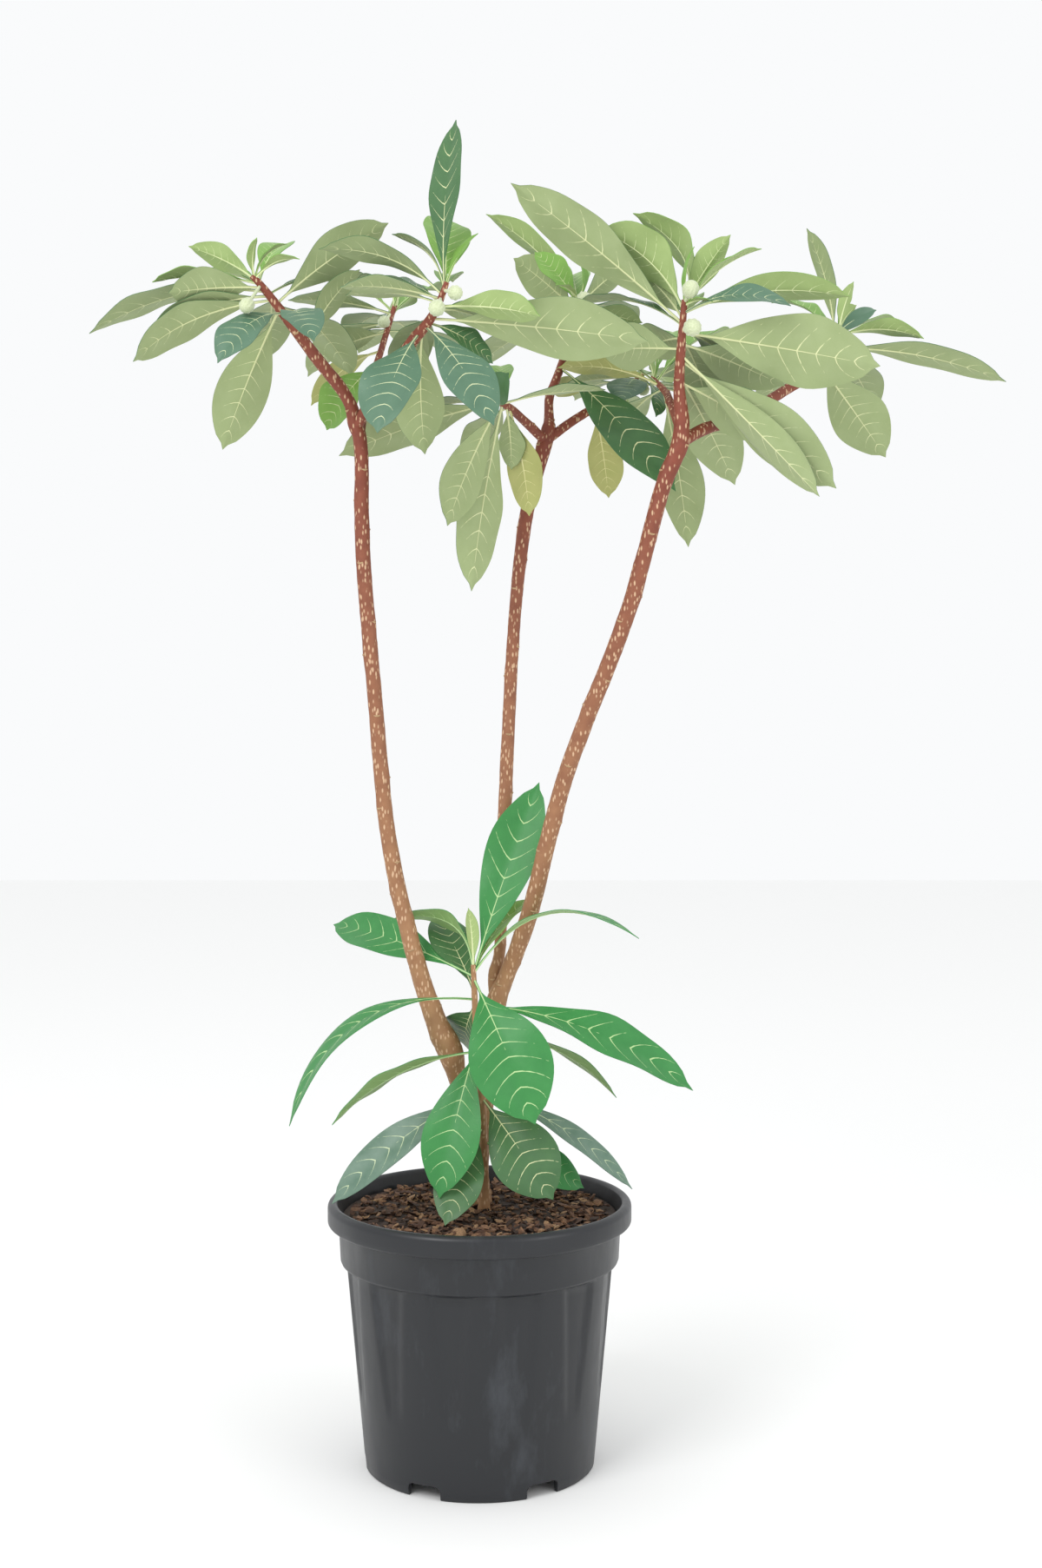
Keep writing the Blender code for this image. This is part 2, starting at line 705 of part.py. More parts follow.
def outer_profile():
    """The pot's outside from the lip down to the middle of its underside."""
    lip = RIM_RADIUS
    foot_ring = FOOT_RADIUS - 5 * MM
    wall_slope = (WALL_TOP_RADIUS - FOOT_RADIUS) / LEDGE_HEIGHT
    return [
        (lip - 9.5 * MM, POT_HEIGHT - 3 * MM),
        (lip - 5.5 * MM, POT_HEIGHT),
        (lip - 2 * MM, POT_HEIGHT - 0.8 * MM),
        (lip, POT_HEIGHT - 7 * MM),
        (lip, POT_HEIGHT - 15 * MM),
        (lip - 1.5 * MM, POT_HEIGHT - 21 * MM),
        (BAND_RADIUS + 1.5 * MM, POT_HEIGHT - 22 * MM),
        (BAND_RADIUS, LEDGE_HEIGHT + 3 * MM),
        (WALL_TOP_RADIUS, LEDGE_HEIGHT),
        (FOOT_RADIUS + wall_slope * FLUTE_FULL, FLUTE_FULL),
        (FOOT_RADIUS + wall_slope * FLUTE_BOTTOM, FLUTE_BOTTOM),
        (FOOT_RADIUS, 1.5 * MM),
        (FOOT_RADIUS - 1.5 * MM, 0.0),
        (foot_ring, 0.0),
        (foot_ring, RECESS_HEIGHT),
        (HUB_RADIUS + 6 * MM, RECESS_HEIGHT),
        (HUB_RADIUS, 0.0),
        (0.0, 0.0),
    ]


def turned(profile, steps):
    """Turn a profile round Z into a closed mesh."""
    bm = bmesh.new()
    verts = [bm.verts.new((radius, 0.0, height)) for radius, height in profile]
    edges = [bm.edges.new(pair) for pair in zip(verts, verts[1:])]
    bmesh.ops.spin(bm, geom=verts + edges, axis=UP, cent=(0, 0, 0), steps=steps, angle=2 * math.pi, use_merge=True)
    bmesh.ops.remove_doubles(bm, verts=bm.verts, dist=1e-6)
    return bm


def press_flute(vert):
    """Press the wall in between each flute's edges, which draw together towards the foot."""
    height = vert.co.z
    radius = math.hypot(vert.co.x, vert.co.y)
    wall = FOOT_RADIUS + (WALL_TOP_RADIUS - FOOT_RADIUS) * height / LEDGE_HEIGHT
    if not FLUTE_BOTTOM - MM < height < LEDGE_HEIGHT + MM or radius < wall - MM:
        return
    period = 2 * math.pi / FLUTES
    angle = math.atan2(vert.co.y, vert.co.x) - FLUTE_TURN
    centre = round(angle / period) * period
    offset = angle - centre
    narrowing = 0.4 + 0.6 * (height - FLUTE_BOTTOM) / (LEDGE_HEIGHT - FLUTE_BOTTOM)
    inside = abs(offset) < period / 4
    half_width = math.radians(7.5 if inside else 10) * narrowing
    angle = centre + math.copysign(half_width, offset) + FLUTE_TURN
    if inside and height > FLUTE_BOTTOM + MM:
        radius -= FLUTE_DEPTH * (0.6 + 0.4 * (height - FLUTE_FULL) / (LEDGE_HEIGHT - FLUTE_FULL))
    vert.co.x = radius * math.cos(angle)
    vert.co.y = radius * math.sin(angle)


def build_pot(finish, plant):
    bm = turned(inner_profile() + outer_profile(), 4 * FLUTES)
    period = 2 * math.pi / FLUTES
    bmesh.ops.rotate(bm, verts=bm.verts, cent=(0, 0, 0), matrix=Matrix.Rotation(FLUTE_TURN + period / 8, 3, "Z"))
    for vert in bm.verts:
        press_flute(vert)
    pot = add_object("pot", bm, finish, plant)
    cutter = add_object("pot_cutter", pot_cutters(), finish, plant)
    boolean(pot, "DIFFERENCE", "EXACT", [cutter])
    return pot


def pot_cutters():
    """Wedges that notch the foot ring, and pegs that drill the drain holes between them."""
    bm = bmesh.new()
    half = NOTCH_WIDTH / 2
    outline = (
        (-half, -MM),
        (half, -MM),
        (half, RECESS_HEIGHT - NOTCH_CHAMFER),
        (half - NOTCH_CHAMFER, RECESS_HEIGHT + 0.5 * MM),
        (NOTCH_CHAMFER - half, RECESS_HEIGHT + 0.5 * MM),
        (-half, RECESS_HEIGHT - NOTCH_CHAMFER),
    )
    for k in range(NOTCHES):
        turn = Matrix.Rotation(NOTCH_TURN + 2 * math.pi * k / NOTCHES, 4, "Z")
        faces = []
        for radius in (FOOT_RADIUS - 9 * MM, FOOT_RADIUS + 5 * MM):
            faces.append([turn @ Vector((radius, y, z)) for y, z in outline])
        loft(bm, faces)
        drain = turn @ Matrix.Rotation(math.pi / NOTCHES, 4, "Z") @ Vector((DRAIN_CIRCLE, 0, 0))
        ends = []
        for height in (RECESS_HEIGHT - MM, FLOOR_HEIGHT + MM):
            station = Station(drain + UP * height, UP, Vector((1, 0, 0)), DRAIN_RADIUS)
            ends.append(ring(station, LIMB_SIDES))
        loft(bm, ends)
    return bm


def build_mulch(finish, plant):
    """Bark mulch up to just under the rim, clear of the pot by a hair, with a rough top."""
    inside = [(radius, height + GAP) for radius, height in inner_profile()]
    wall = [(max(0.0, radius - 1.5 * GAP), height) for radius, height in inside[:-1]]
    edge_radius = wall[-1][0]
    top = [(edge_radius * share, MULCH_LEVEL) for share in (1.0, 0.83, 0.66, 0.5)]
    middle = [(LEVEL_RADIUS, MULCH_LEVEL), (0.0, MULCH_LEVEL)]
    bm = turned(wall + top + middle, MULCH_SIDES)
    chance = random.Random(MULCH_SEED)
    for vert in bm.verts:
        radius = math.hypot(vert.co.x, vert.co.y)
        if vert.co.z > MULCH_LEVEL - MM and radius > LEVEL_RADIUS + MM:
            vert.co.z += MULCH_RELIEF * chance.uniform(-1, 1)
    return add_object("bark_mulch", bm, finish, plant)


# Assembly

def build_limbs(stations, places, bark, plant):
    """Cut each line of growth into its stem and bough, each trimmed clear of what it grows from."""
    for name, line in LINES.items():
        start = 0
        for node, end in line["ends"].items():
            stop = places[name][end]
            run = stations[name][start:stop + 1]
            run[0] = moved_on(run[0], GAP)
            limb = add_object(node, tube(run, LIMB_SIDES), bark, plant)
            if start == 0 and line["from"]:
                carved = []
                for parent in line["from"]:
                    cutter = tube(stations[parent], LIMB_SIDES, GAP)
                    carved.append(add_object(node + "_cutter", cutter, bark, plant))
                boolean(limb, "DIFFERENCE", "EXACT", carved)
                keep_main_body(limb)
            start = stop


def build_masses(stations, places, finishes, taken, plant):
    """Each shoot's twig with its leaves and buds, fused into one solid."""
    twigs = {}
    for name, line in LINES.items():
        twigs[name] = stations[name][places[name][max(line["ends"].values())]:]
        twigs[name][0] = moved_on(twigs[name][0], GAP)
        for bud in BUDS.get(name, ()):
            for bm in bud_parts(point_below(twigs[name], bud[0] * CM), bud):
                tree = tree_of(bm)
                taken.append(Taken(name, tree, tree, True))

    for name, run in twigs.items():
        mass = add_object("leaves_" + name, tube(run, LIMB_SIDES), finishes["leaf"], plant)
        grown = []
        for row in LEAVES[name]:
            leaf = Leaf(*row)
            foot = point_below(run, leaf.below * CM)
            placed = settled(name, foot, leaf, taken, True)
            if placed:
                grown.append((foot, placed))
            else:
                print("No room on", name, "for", leaf)
        grown += back_leaves(name, run, taken)
        pieces = [leaf_object("leaf", foot, leaf, finishes["leaf"], plant) for foot, leaf in grown]
        for bud in BUDS.get(name, ()):
            for bm in bud_parts(point_below(run, bud[0] * CM), bud):
                pieces.append(add_object("bud", bm, finishes["leaf"], plant))
        boolean(mass, "UNION", "MANIFOLD", pieces)
        keep_main_body(mass)


def main():
    for old in list(bpy.data.objects):
        bpy.data.objects.remove(old, do_unlink=True)
    plant = bpy.data.objects.new("potted_paperbush", None)
    bpy.context.scene.collection.objects.link(plant)
    finishes = {
        "pot": material("black polypropylene", (0.035, 0.038, 0.044), 0.38),
        "mulch": material("bark mulch", (0.14, 0.09, 0.06), 0.9),
        "bark": material("paperbush bark", (0.30, 0.13, 0.07), 0.7),
        "leaf": material("paperbush leaf", (0.16, 0.26, 0.11), 0.55),
    }
    pot = build_pot(finishes["pot"], plant)
    mulch = build_mulch(finishes["mulch"], plant)

    stations = {}
    places = {}
    for name, line in LINES.items():
        step = LIMB_STEP if name != "young" else TWIG_STEP
        stations[name], places[name] = stations_of(line, step)
    build_limbs(stations, places, finishes["bark"], plant)

    taken = []
    for body in (pot, mulch):
        bm = bmesh.new()
        bm.from_mesh(body.data)
        tree = tree_of(bm)
        taken.append(Taken(body.name, tree, tree, True))
    for name, run in stations.items():
        tree = tree_of(tube(run, LIMB_SIDES, LEAF_ROOM))
        taken.append(Taken(name, tree, tree, True))
    build_masses(stations, places, finishes, taken, plant)


main()
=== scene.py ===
# %% [markdown]
# # A potted paperbush
#
# This lesson dresses a plain CAD model of a young shrub in a nursery pot. The CAD solids fix every size
# and place. Each cell adds one layer of what the eye expects: moulded plastic, chipped bark mulch, stems
# with leaf scars, and about two hundred leaves with their ribs and veins.

import math
import random
from collections import namedtuple

import bmesh
import bpy
from mathutils import Matrix, Vector, noise
from mathutils.bvhtree import BVHTree


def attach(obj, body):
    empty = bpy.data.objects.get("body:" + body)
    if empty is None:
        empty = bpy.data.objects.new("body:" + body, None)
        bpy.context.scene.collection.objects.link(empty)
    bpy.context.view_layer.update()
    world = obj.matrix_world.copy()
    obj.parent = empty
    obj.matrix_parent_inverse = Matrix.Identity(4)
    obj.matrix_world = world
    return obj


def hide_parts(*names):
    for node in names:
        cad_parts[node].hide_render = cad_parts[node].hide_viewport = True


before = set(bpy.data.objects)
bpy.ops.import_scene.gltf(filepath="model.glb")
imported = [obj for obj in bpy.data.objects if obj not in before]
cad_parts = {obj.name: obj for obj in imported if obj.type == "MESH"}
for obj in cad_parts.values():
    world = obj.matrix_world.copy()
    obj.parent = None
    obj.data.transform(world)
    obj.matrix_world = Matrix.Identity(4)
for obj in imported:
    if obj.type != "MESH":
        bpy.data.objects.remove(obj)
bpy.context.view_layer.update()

CM = 0.01
MM = 0.001
UP = Vector((0.0, 0.0, 1.0))
FRONT = Vector((0.0, -1.0, 0.0))

# %% [markdown]
# ## Camera
#
# The camera comes first, so that each later step can be looked at through it. It stands two metres in
# front of the pot at the height of the lower crown, and looks down by three degrees. A 50 mm lens is a
# natural choice for a tall plant: the boughs near the lens don't swell.

# %% Camera
CAMERA_PLACE = (0.041, -2.14, 0.79)
CAMERA_TILT = math.radians(86.99)


def add_object(name, data):
    """A new object, linked to the scene."""
    made = bpy.data.objects.new(name, data)
    bpy.context.scene.collection.objects.link(made)
    return made


camera_data = bpy.data.cameras.new("front_view")
camera_data.lens = 50.0
camera_data.sensor_width = 36.0
camera = add_object("front_view", camera_data)
camera.location = CAMERA_PLACE
camera.rotation_euler = (CAMERA_TILT, 0.0, 0.0)
bpy.context.scene.camera = camera
print("The camera stands at", CAMERA_PLACE)

# %% [markdown]
# ## Colour and nodes
#
# A listed colour is an sRGB value, but the shaders work in linear light, so one function turns the
# hex code round. A second one adds a shader node with its settings and links. Built by hand, a node takes
# five lines, so this keeps each material as short as its idea. What nearly all finishes here share is two
# tones mottled by noise, and a colour and a bump for the shader, so these steps have a function each too.


# %% Colour and node helpers
def colour(code):
    """An sRGB hex code as a linear colour."""
    channels = [int(code[k:k + 2], 16) / 255 for k in (1, 3, 5)]
    linear = [c / 12.92 if c <= 0.04045 else ((c + 0.055) / 1.055) ** 2.4 for c in channels]
    return (*linear, 1.0)


def add_node(tree, kind, inputs=None, **settings):
    """Add a node with its settings, and feed its inputs with values or other nodes' sockets."""
    node = tree.nodes.new("ShaderNode" + kind)
    for name, value in settings.items():
        setattr(node, name, value)
    for name, value in (inputs or {}).items():
        if isinstance(value, bpy.types.NodeSocket):
            tree.links.new(value, node.inputs[name])
        else:
            node.inputs[name].default_value = value
    return node


def start_material(name, **sockets):
    """A Principled material, its tree and its shader, with the sockets that are the same all over."""
    made = bpy.data.materials.new(name)
    made.use_nodes = True
    shader = made.node_tree.nodes["Principled BSDF"]
    for socket, value in sockets.items():
        shader.inputs[socket.replace("_", " ")].default_value = value
    return made, made.node_tree, shader


# The Mix node keeps a float, a vector and a colour version of each socket. These are the colour ones.
MIX_A = 6
MIX_B = 7
MIX_RESULT = 2


def mottle(tree, place, size, tones, spread=None, **look):
    """Mix two tones by noise with spots of a real size. Gives the noise and the mixed colour."""
    spots = add_node(tree, "TexNoise", {"Vector": place, "Scale": 1 / size, **look}).outputs["Fac"]
    share = spots
    if spread:
        limits = {"Value": spots, "From Min": spread[0], "From Max": spread[1]}
        share = add_node(tree, "MapRange", limits).outputs["Result"]
    mixed = add_node(tree, "Mix", {0: share, MIX_A: tones[0], MIX_B: tones[1]}, data_type="RGBA")
    return spots, mixed.outputs[MIX_RESULT]


def dress(tree, shader, skin, height=None, strength=0.0, depth=0.0):
    """Feed a shader with its colour, and with a bump where there is a height."""
    tree.links.new(skin, shader.inputs["Base Color"])
    if height:
        bump = add_node(tree, "Bump", {"Height": height, "Strength": strength, "Distance": depth})
        tree.links.new(bump.outputs["Normal"], shader.inputs["Normal"])


# %% [markdown]
# ## Floor and light
#
# The plant stands on a pale floor in an even, shadowless light, as in a nursery's catalogue. A large soft
# lamp high on the left draws the sheen on the pot and leaves, a weaker one on the right fills the shade,
# and a white sky does the rest. The floor is left off the plant's frame, so it isn't part of the object.

# %% Floor, lamps and sky
FLOOR_SIZE = 6.0
LAMP_SIZE = 1.6


def mesh_from(bm, name):
    """Turn a bmesh into a mesh, and free it."""
    mesh = bpy.data.meshes.new(name)
    bm.to_mesh(mesh)
    bm.free()
    return mesh


def add_lamp(name, place, target, power):
    """A square soft lamp that faces its target."""
    data = bpy.data.lights.new(name, "AREA")
    data.size = LAMP_SIZE
    data.energy = power
    lamp = add_object(name, data)
    lamp.location = place
    lamp.rotation_euler = (Vector(target) - Vector(place)).to_track_quat("-Z", "Y").to_euler()


floor_finish, tree, shader = start_material("matt_white_floor", Base_Color=colour("#f8f8f7"), Roughness=0.9)
floor_bm = bmesh.new()
bmesh.ops.create_grid(floor_bm, x_segments=1, y_segments=1, size=FLOOR_SIZE)
floor = add_object("floor", mesh_from(floor_bm, "floor"))
floor.data.materials.append(floor_finish)

add_lamp("key_lamp", (-1.6, -2.2, 2.6), (0.0, 0.0, 0.8), 46.0)
add_lamp("fill_lamp", (2.2, -1.8, 1.4), (0.0, 0.0, 0.6), 16.0)

world = bpy.data.worlds.new("white_sky")
world.use_nodes = True
sky = world.node_tree.nodes["Background"].inputs
sky["Color"].default_value = colour("#fafbfc")
sky["Strength"].default_value = 1.0
bpy.context.scene.world = world
bpy.context.scene.view_settings.view_transform = "Standard"
print("Lamps:", len(bpy.data.lights))

# %% [markdown]
# ## From a bmesh to a finished piece
#
# Every piece ends the same way: smooth faces with the sharp edges kept, materials, and a seat on the
# frame. A helper does this, prints the count of triangles, and hides the CAD nodes that the piece stands
# for. An edge counts as sharp by the angle between its faces, which needs no modifier.

# %% Finish a piece
def finish_piece(name, bm, finishes, replaced=(), sharp=40.0):
    """Make an object of a bmesh, seat it on the frame and hide the CAD nodes it stands for."""
    for face in bm.faces:
        face.smooth = True
    limit = math.radians(sharp)
    for edge in bm.edges:
        edge.smooth = edge.calc_face_angle(0.0) < limit
    triangles = sum(len(face.verts) - 2 for face in bm.faces)
    piece = add_object(name, mesh_from(bm, name))
    for finish in finishes:
        piece.data.materials.append(finish)
    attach(piece, "root")
    if replaced:
        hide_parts(*replaced)
    print(name, "has", triangles, "triangles")


# %% [markdown]
# ## Black polypropylene
#
# Nursery pots are injection moulded in recycled black polypropylene. It is never quite black: the
# surface scatters a little blue grey light, and dried splashes leave soft pale smears. A faint grain of
# about a millimetre breaks up the gloss. Its IOR is that of the plastic, 1.49.

# %% Pot material
SMEAR_SIZE = 45 * MM
GRAIN_SIZE = 1.2 * MM

pot_finish, tree, shader = start_material("moulded_black_polypropylene", IOR=1.49)
place = add_node(tree, "TexCoord").outputs["Object"]
drawn_out = add_node(tree, "Mapping", {"Vector": place, "Scale": (1.0, 1.0, 0.35)}).outputs["Vector"]
tones = (colour("#1c1e22"), colour("#34373c"))
smears, skin = mottle(tree, drawn_out, SMEAR_SIZE, tones, (0.54, 0.72), Detail=6.0, Roughness=0.65)
limits = {"From Min": 0.3, "From Max": 0.75, "To Min": 0.3, "To Max": 0.52}
gloss = add_node(tree, "MapRange", {"Value": smears, **limits})
tree.links.new(gloss.outputs["Result"], shader.inputs["Roughness"])
grain = add_node(tree, "TexNoise", {"Vector": place, "Scale": 1 / GRAIN_SIZE}).outputs["Fac"]
dress(tree, shader, skin, grain, 0.12, 0.2 * MM)
print("Pot material:", pot_finish.name)

# %% [markdown]
# ## The pot
#
# A moulded pot is a solid of revolution with ribs, so it is spun from a profile: the same one as in the
# CAD, with rounder edges and over four times the steps. Spinning gives a plain wall. Its shallow flutes are
# then pressed in by moving points, since a smooth hollow would need many cutters. Notches in the foot and
# the drain holes have sharp edges, and there a Boolean is the right tool.

# %% Pot sizes
POT_HEIGHT = 265 * MM
RIM_RADIUS = 150.7 * MM
BAND_RADIUS = 138 * MM
LEDGE_HEIGHT = 203 * MM
WALL_TOP_RADIUS = 132 * MM
FOOT_RADIUS = 114 * MM
FLUTES = 12
FLUTE_DEPTH = 3 * MM
FLUTE_TURN = math.radians(-12)
FLUTE_BOTTOM = 65 * MM
FLUTE_LENGTH = LEDGE_HEIGHT - FLUTE_BOTTOM
FLUTE_FADE = 28 * MM
FLUTE_FULL = 90 * MM
FLUTE_FLOOR_TURN = math.radians(6.5)
FLUTE_EDGE_TURN = math.radians(10)
FLUTE_FOOT_SHARE = 0.4
FLUTE_LOW_DEPTH = 0.6
RECESS_HEIGHT = 13 * MM
FLOOR_HEIGHT = 17 * MM
HUB_RADIUS = 30 * MM
NOTCHES = 6
NOTCH_TURN = math.radians(33 - 90)
NOTCH_WIDTH = 35 * MM
NOTCH_CHAMFER = 5 * MM
DRAIN_RADIUS = 6 * MM
DRAIN_CIRCLE = 75 * MM
MULCH_LEVEL = 252 * MM
POT_STEPS = 216


# %% Spin the pot
def arc(centre, radius, start, end, steps):
    """Points of an arc in the profile's plane, with its angles in degrees."""
    points = []
    for k in range(steps + 1):
        angle = math.radians(start + (end - start) * k / steps)
        points.append((centre[0] + radius * math.cos(angle), centre[1] + radius * math.sin(angle)))
    return points


def wall_radius(height):
    """The tapered wall's radius at a height."""
    return FOOT_RADIUS + (WALL_TOP_RADIUS - FOOT_RADIUS) * height / LEDGE_HEIGHT


def pot_profile():
    """Half of the pot's section, from the middle of its floor over the rim to the middle below."""
    profile = [
        (0.0, FLOOR_HEIGHT - RECESS_HEIGHT),
        (HUB_RADIUS - 3 * MM, FLOOR_HEIGHT - RECESS_HEIGHT),
        (HUB_RADIUS + 3 * MM, FLOOR_HEIGHT),
        (FOOT_RADIUS - 1.5 * MM, FLOOR_HEIGHT),
        (WALL_TOP_RADIUS - 5.8 * MM, LEDGE_HEIGHT - 3 * MM),
        (BAND_RADIUS - 2.5 * MM, LEDGE_HEIGHT + 5 * MM),
        (BAND_RADIUS - 1.5 * MM, MULCH_LEVEL - 2 * MM),
        (RIM_RADIUS - 10 * MM, POT_HEIGHT - 4.5 * MM),
    ]
    profile += arc((RIM_RADIUS - 6 * MM, POT_HEIGHT - 4 * MM), 4 * MM, 165, 90, 4)
    profile += arc((RIM_RADIUS - 6 * MM, POT_HEIGHT - 6 * MM), 6 * MM, 80, 0, 5)
    profile += [(RIM_RADIUS, POT_HEIGHT - 15 * MM)]
    profile += arc((RIM_RADIUS - 3.5 * MM, POT_HEIGHT - 18.5 * MM), 3.5 * MM, -10, -80, 4)
    profile += [
        (BAND_RADIUS + 3.5 * MM, POT_HEIGHT - 22 * MM),
        (BAND_RADIUS + 1.8 * MM, POT_HEIGHT - 23.5 * MM),
        (BAND_RADIUS + 0.2 * MM, LEDGE_HEIGHT + 5 * MM),
        (BAND_RADIUS - 0.8 * MM, LEDGE_HEIGHT + 2.5 * MM),
        (WALL_TOP_RADIUS + 0.8 * MM, LEDGE_HEIGHT + 0.8 * MM),
    ]
    for height in (200, 192, 180, 165, 150, 130, 110, 95, 85, 78, 72, 68, 64, 40, 10, 1.5):
        profile.append((wall_radius(height * MM), height * MM))
    profile += [
        (FOOT_RADIUS - 1.5 * MM, 0.0),
        (FOOT_RADIUS - 5 * MM, 0.0),
        (FOOT_RADIUS - 5 * MM, RECESS_HEIGHT),
        (HUB_RADIUS + 6 * MM, RECESS_HEIGHT),
        (HUB_RADIUS, 0.0),
        (0.0, 0.0),
    ]
    return profile


def smooth_share(value, low, high):
    """0 below low, 1 above high, and an S-curve between."""
    share = min(1.0, max(0.0, (value - low) / (high - low)))
    return share * share * (3 - 2 * share)


def press_flutes(bm):
    """Press the twelve shallow hollows, which narrow and fade towards the foot, into the outer wall."""
    period = 2 * math.pi / FLUTES
    for vert in bm.verts:
        height = vert.co.z
        radius = math.hypot(vert.co.x, vert.co.y)
        if not FLUTE_BOTTOM - MM < height < LEDGE_HEIGHT - MM or radius < wall_radius(height) - MM:
            continue
        angle = math.atan2(vert.co.y, vert.co.x) - FLUTE_TURN
        offset = abs(angle - round(angle / period) * period)
        narrowing = FLUTE_FOOT_SHARE + (1 - FLUTE_FOOT_SHARE) * (height - FLUTE_BOTTOM) / FLUTE_LENGTH
        across = 1 - smooth_share(offset, FLUTE_FLOOR_TURN * narrowing, FLUTE_EDGE_TURN * narrowing)
        depth = FLUTE_DEPTH * across * smooth_share(height, FLUTE_BOTTOM, FLUTE_BOTTOM + FLUTE_FADE)
        depth *= FLUTE_LOW_DEPTH + (1 - FLUTE_LOW_DEPTH) * smooth_share(height, FLUTE_FULL, LEDGE_HEIGHT)
        vert.co.x *= (radius - depth) / radius
        vert.co.y *= (radius - depth) / radius


def spin_profile(profile, steps):
    """Turn a profile round the upright axis into a closed shell."""
    bm = bmesh.new()
    verts = [bm.verts.new((radius, 0.0, height)) for radius, height in profile]
    edges = [bm.edges.new(pair) for pair in zip(verts, verts[1:])]
    bmesh.ops.spin(
        bm, geom=verts + edges, axis=UP, cent=(0, 0, 0), steps=steps, angle=2 * math.pi, use_merge=True
    )
    bmesh.ops.remove_doubles(bm, verts=bm.verts, dist=1e-6)
    bmesh.ops.recalc_face_normals(bm, faces=bm.faces)
    return bm


def cut_away(bm, cutter_bm):
    """Subtract one bmesh from another."""
    body = add_object("uncut", mesh_from(bm, "uncut"))
    cutter = add_object("cutter", mesh_from(cutter_bm, "cutter"))
    step = body.modifiers.new("cut", "BOOLEAN")
    step.operation = "DIFFERENCE"
    step.object = cutter
    step.solver = "EXACT"
    bpy.context.view_layer.update()
    result = bmesh.new()
    result.from_object(body, bpy.context.evaluated_depsgraph_get())
    for used in (body, cutter):
        used_mesh = used.data
        bpy.data.objects.remove(used)
        bpy.data.meshes.remove(used_mesh)
    return result


def foot_cutters():
    """Chamfered wedges for the notches in the foot ring, and pegs for the drain holes."""
    bm = bmesh.new()
    height = RECESS_HEIGHT + 1.5 * MM
    for k in range(NOTCHES):
        turn = Matrix.Rotation(NOTCH_TURN + 2 * math.pi * k / NOTCHES, 4, "Z")
        centre = Vector((FOOT_RADIUS - 2 * MM, 0.0, height / 2 - MM))
        size = Matrix.Diagonal((14 * MM, NOTCH_WIDTH, height, 1.0))
        block = bmesh.ops.create_cube(bm, size=1.0, matrix=turn @ Matrix.Translation(centre) @ size)
        top = [vert for vert in block["verts"] if vert.co.z > centre.z]
        long_edges = []
        for edge in bm.edges:
            along = (edge.verts[1].co - edge.verts[0].co).normalized()
            if all(vert in top for vert in edge.verts) and abs(along.dot(turn.col[0].xyz)) > 0.9:
                long_edges.append(edge)
        bmesh.ops.bevel(
            bm, geom=long_edges, offset=NOTCH_CHAMFER, segments=2, profile=0.5, affect="EDGES", material=-1
        )
        drain = turn @ Matrix.Rotation(math.pi / NOTCHES, 4, "Z") @ Vector((DRAIN_CIRCLE, 0, 0))
        place = Matrix.Translation(drain + UP * (RECESS_HEIGHT + FLOOR_HEIGHT) / 2)
        peg = {"radius1": DRAIN_RADIUS, "radius2": DRAIN_RADIUS, "depth": 8 * MM}
        bmesh.ops.create_cone(bm, cap_ends=True, segments=24, matrix=place, **peg)
    return bm


pot_bm = spin_profile(pot_profile(), POT_STEPS)
press_flutes(pot_bm)
pot_bm = cut_away(pot_bm, foot_cutters())
finish_piece("fluted_pot", pot_bm, [pot_finish], ["pot"], sharp=50.0)

# %% [markdown]
# ## Bark mulch
#
# The pot is topped up with chipped bark. Chips are thin, angular flakes that lie every way, from rust
# to grey brown. They could be one rough surface with a texture, but flakes catch the light at their edges,
# so each is a small cut block, turned at random and half sunk in a dark bed. A fixed seed keeps them
# where they are on every run.

# %% Mulch materials
MULCH_COLOURS = ("#3a2a20", "#54392a", "#6e4e38", "#8a664a", "#a3805e")


def wood_chip(name, code):
    """Chipped bark: quite matt, mottled in spots of about two millimetres."""
    made, tree, shader = start_material(name, Roughness=0.85)
    place = add_node(tree, "TexCoord").outputs["Object"]
    dark = tuple(channel * 0.55 for channel in colour(code)[:3]) + (1.0,)
    streaks, tone = mottle(tree, place, 2 * MM, (dark, colour(code)), (0.35, 0.7), Detail=4.0)
    dress(tree, shader, tone, streaks, 0.5, 0.6 * MM)
    return made


chip_finishes = [wood_chip("bark_chip_" + code[1:], code) for code in MULCH_COLOURS]
print("Mulch materials:", len(chip_finishes))

# %% Mulch bed and chips
CHIP_COUNT = 1500
CHIP_SEED = 8
CHIP_LENGTH = (4, 15)
CHIP_WIDTH_SHARE = (0.35, 0.7)
CHIP_THICKNESS = (1.2, 2.6)
CHIP_WEIGHTS = (3, 4, 4, 3, 2)
CHIP_RAGGEDNESS = 0.9
BED_RADIUS = BAND_RADIUS - 2.2 * MM
BED_BOTTOM = MULCH_LEVEL - 30 * MM
BED_TOP = MULCH_LEVEL - 2 * MM
BED_RINGS = (1.0, 0.9, 0.8, 0.7, 0.6, 0.5, 0.4, 0.3, 0.15, 0.0)
random_chip = random.Random(CHIP_SEED)

bed_profile = [(0.0, BED_BOTTOM), (BED_RADIUS - MM, BED_BOTTOM)]
bed_bm = spin_profile(bed_profile + [(BED_RADIUS * share, BED_TOP) for share in BED_RINGS], 72)
for vert in bed_bm.verts:
    if vert.co.z > MULCH_LEVEL - 3 * MM and vert.co.xy.length < BED_RADIUS - MM:
        vert.co.z += 2.5 * MM * noise.noise(vert.co / (9 * MM))
finish_piece("mulch_bed", bed_bm, [chip_finishes[0]], ["bark_mulch"])

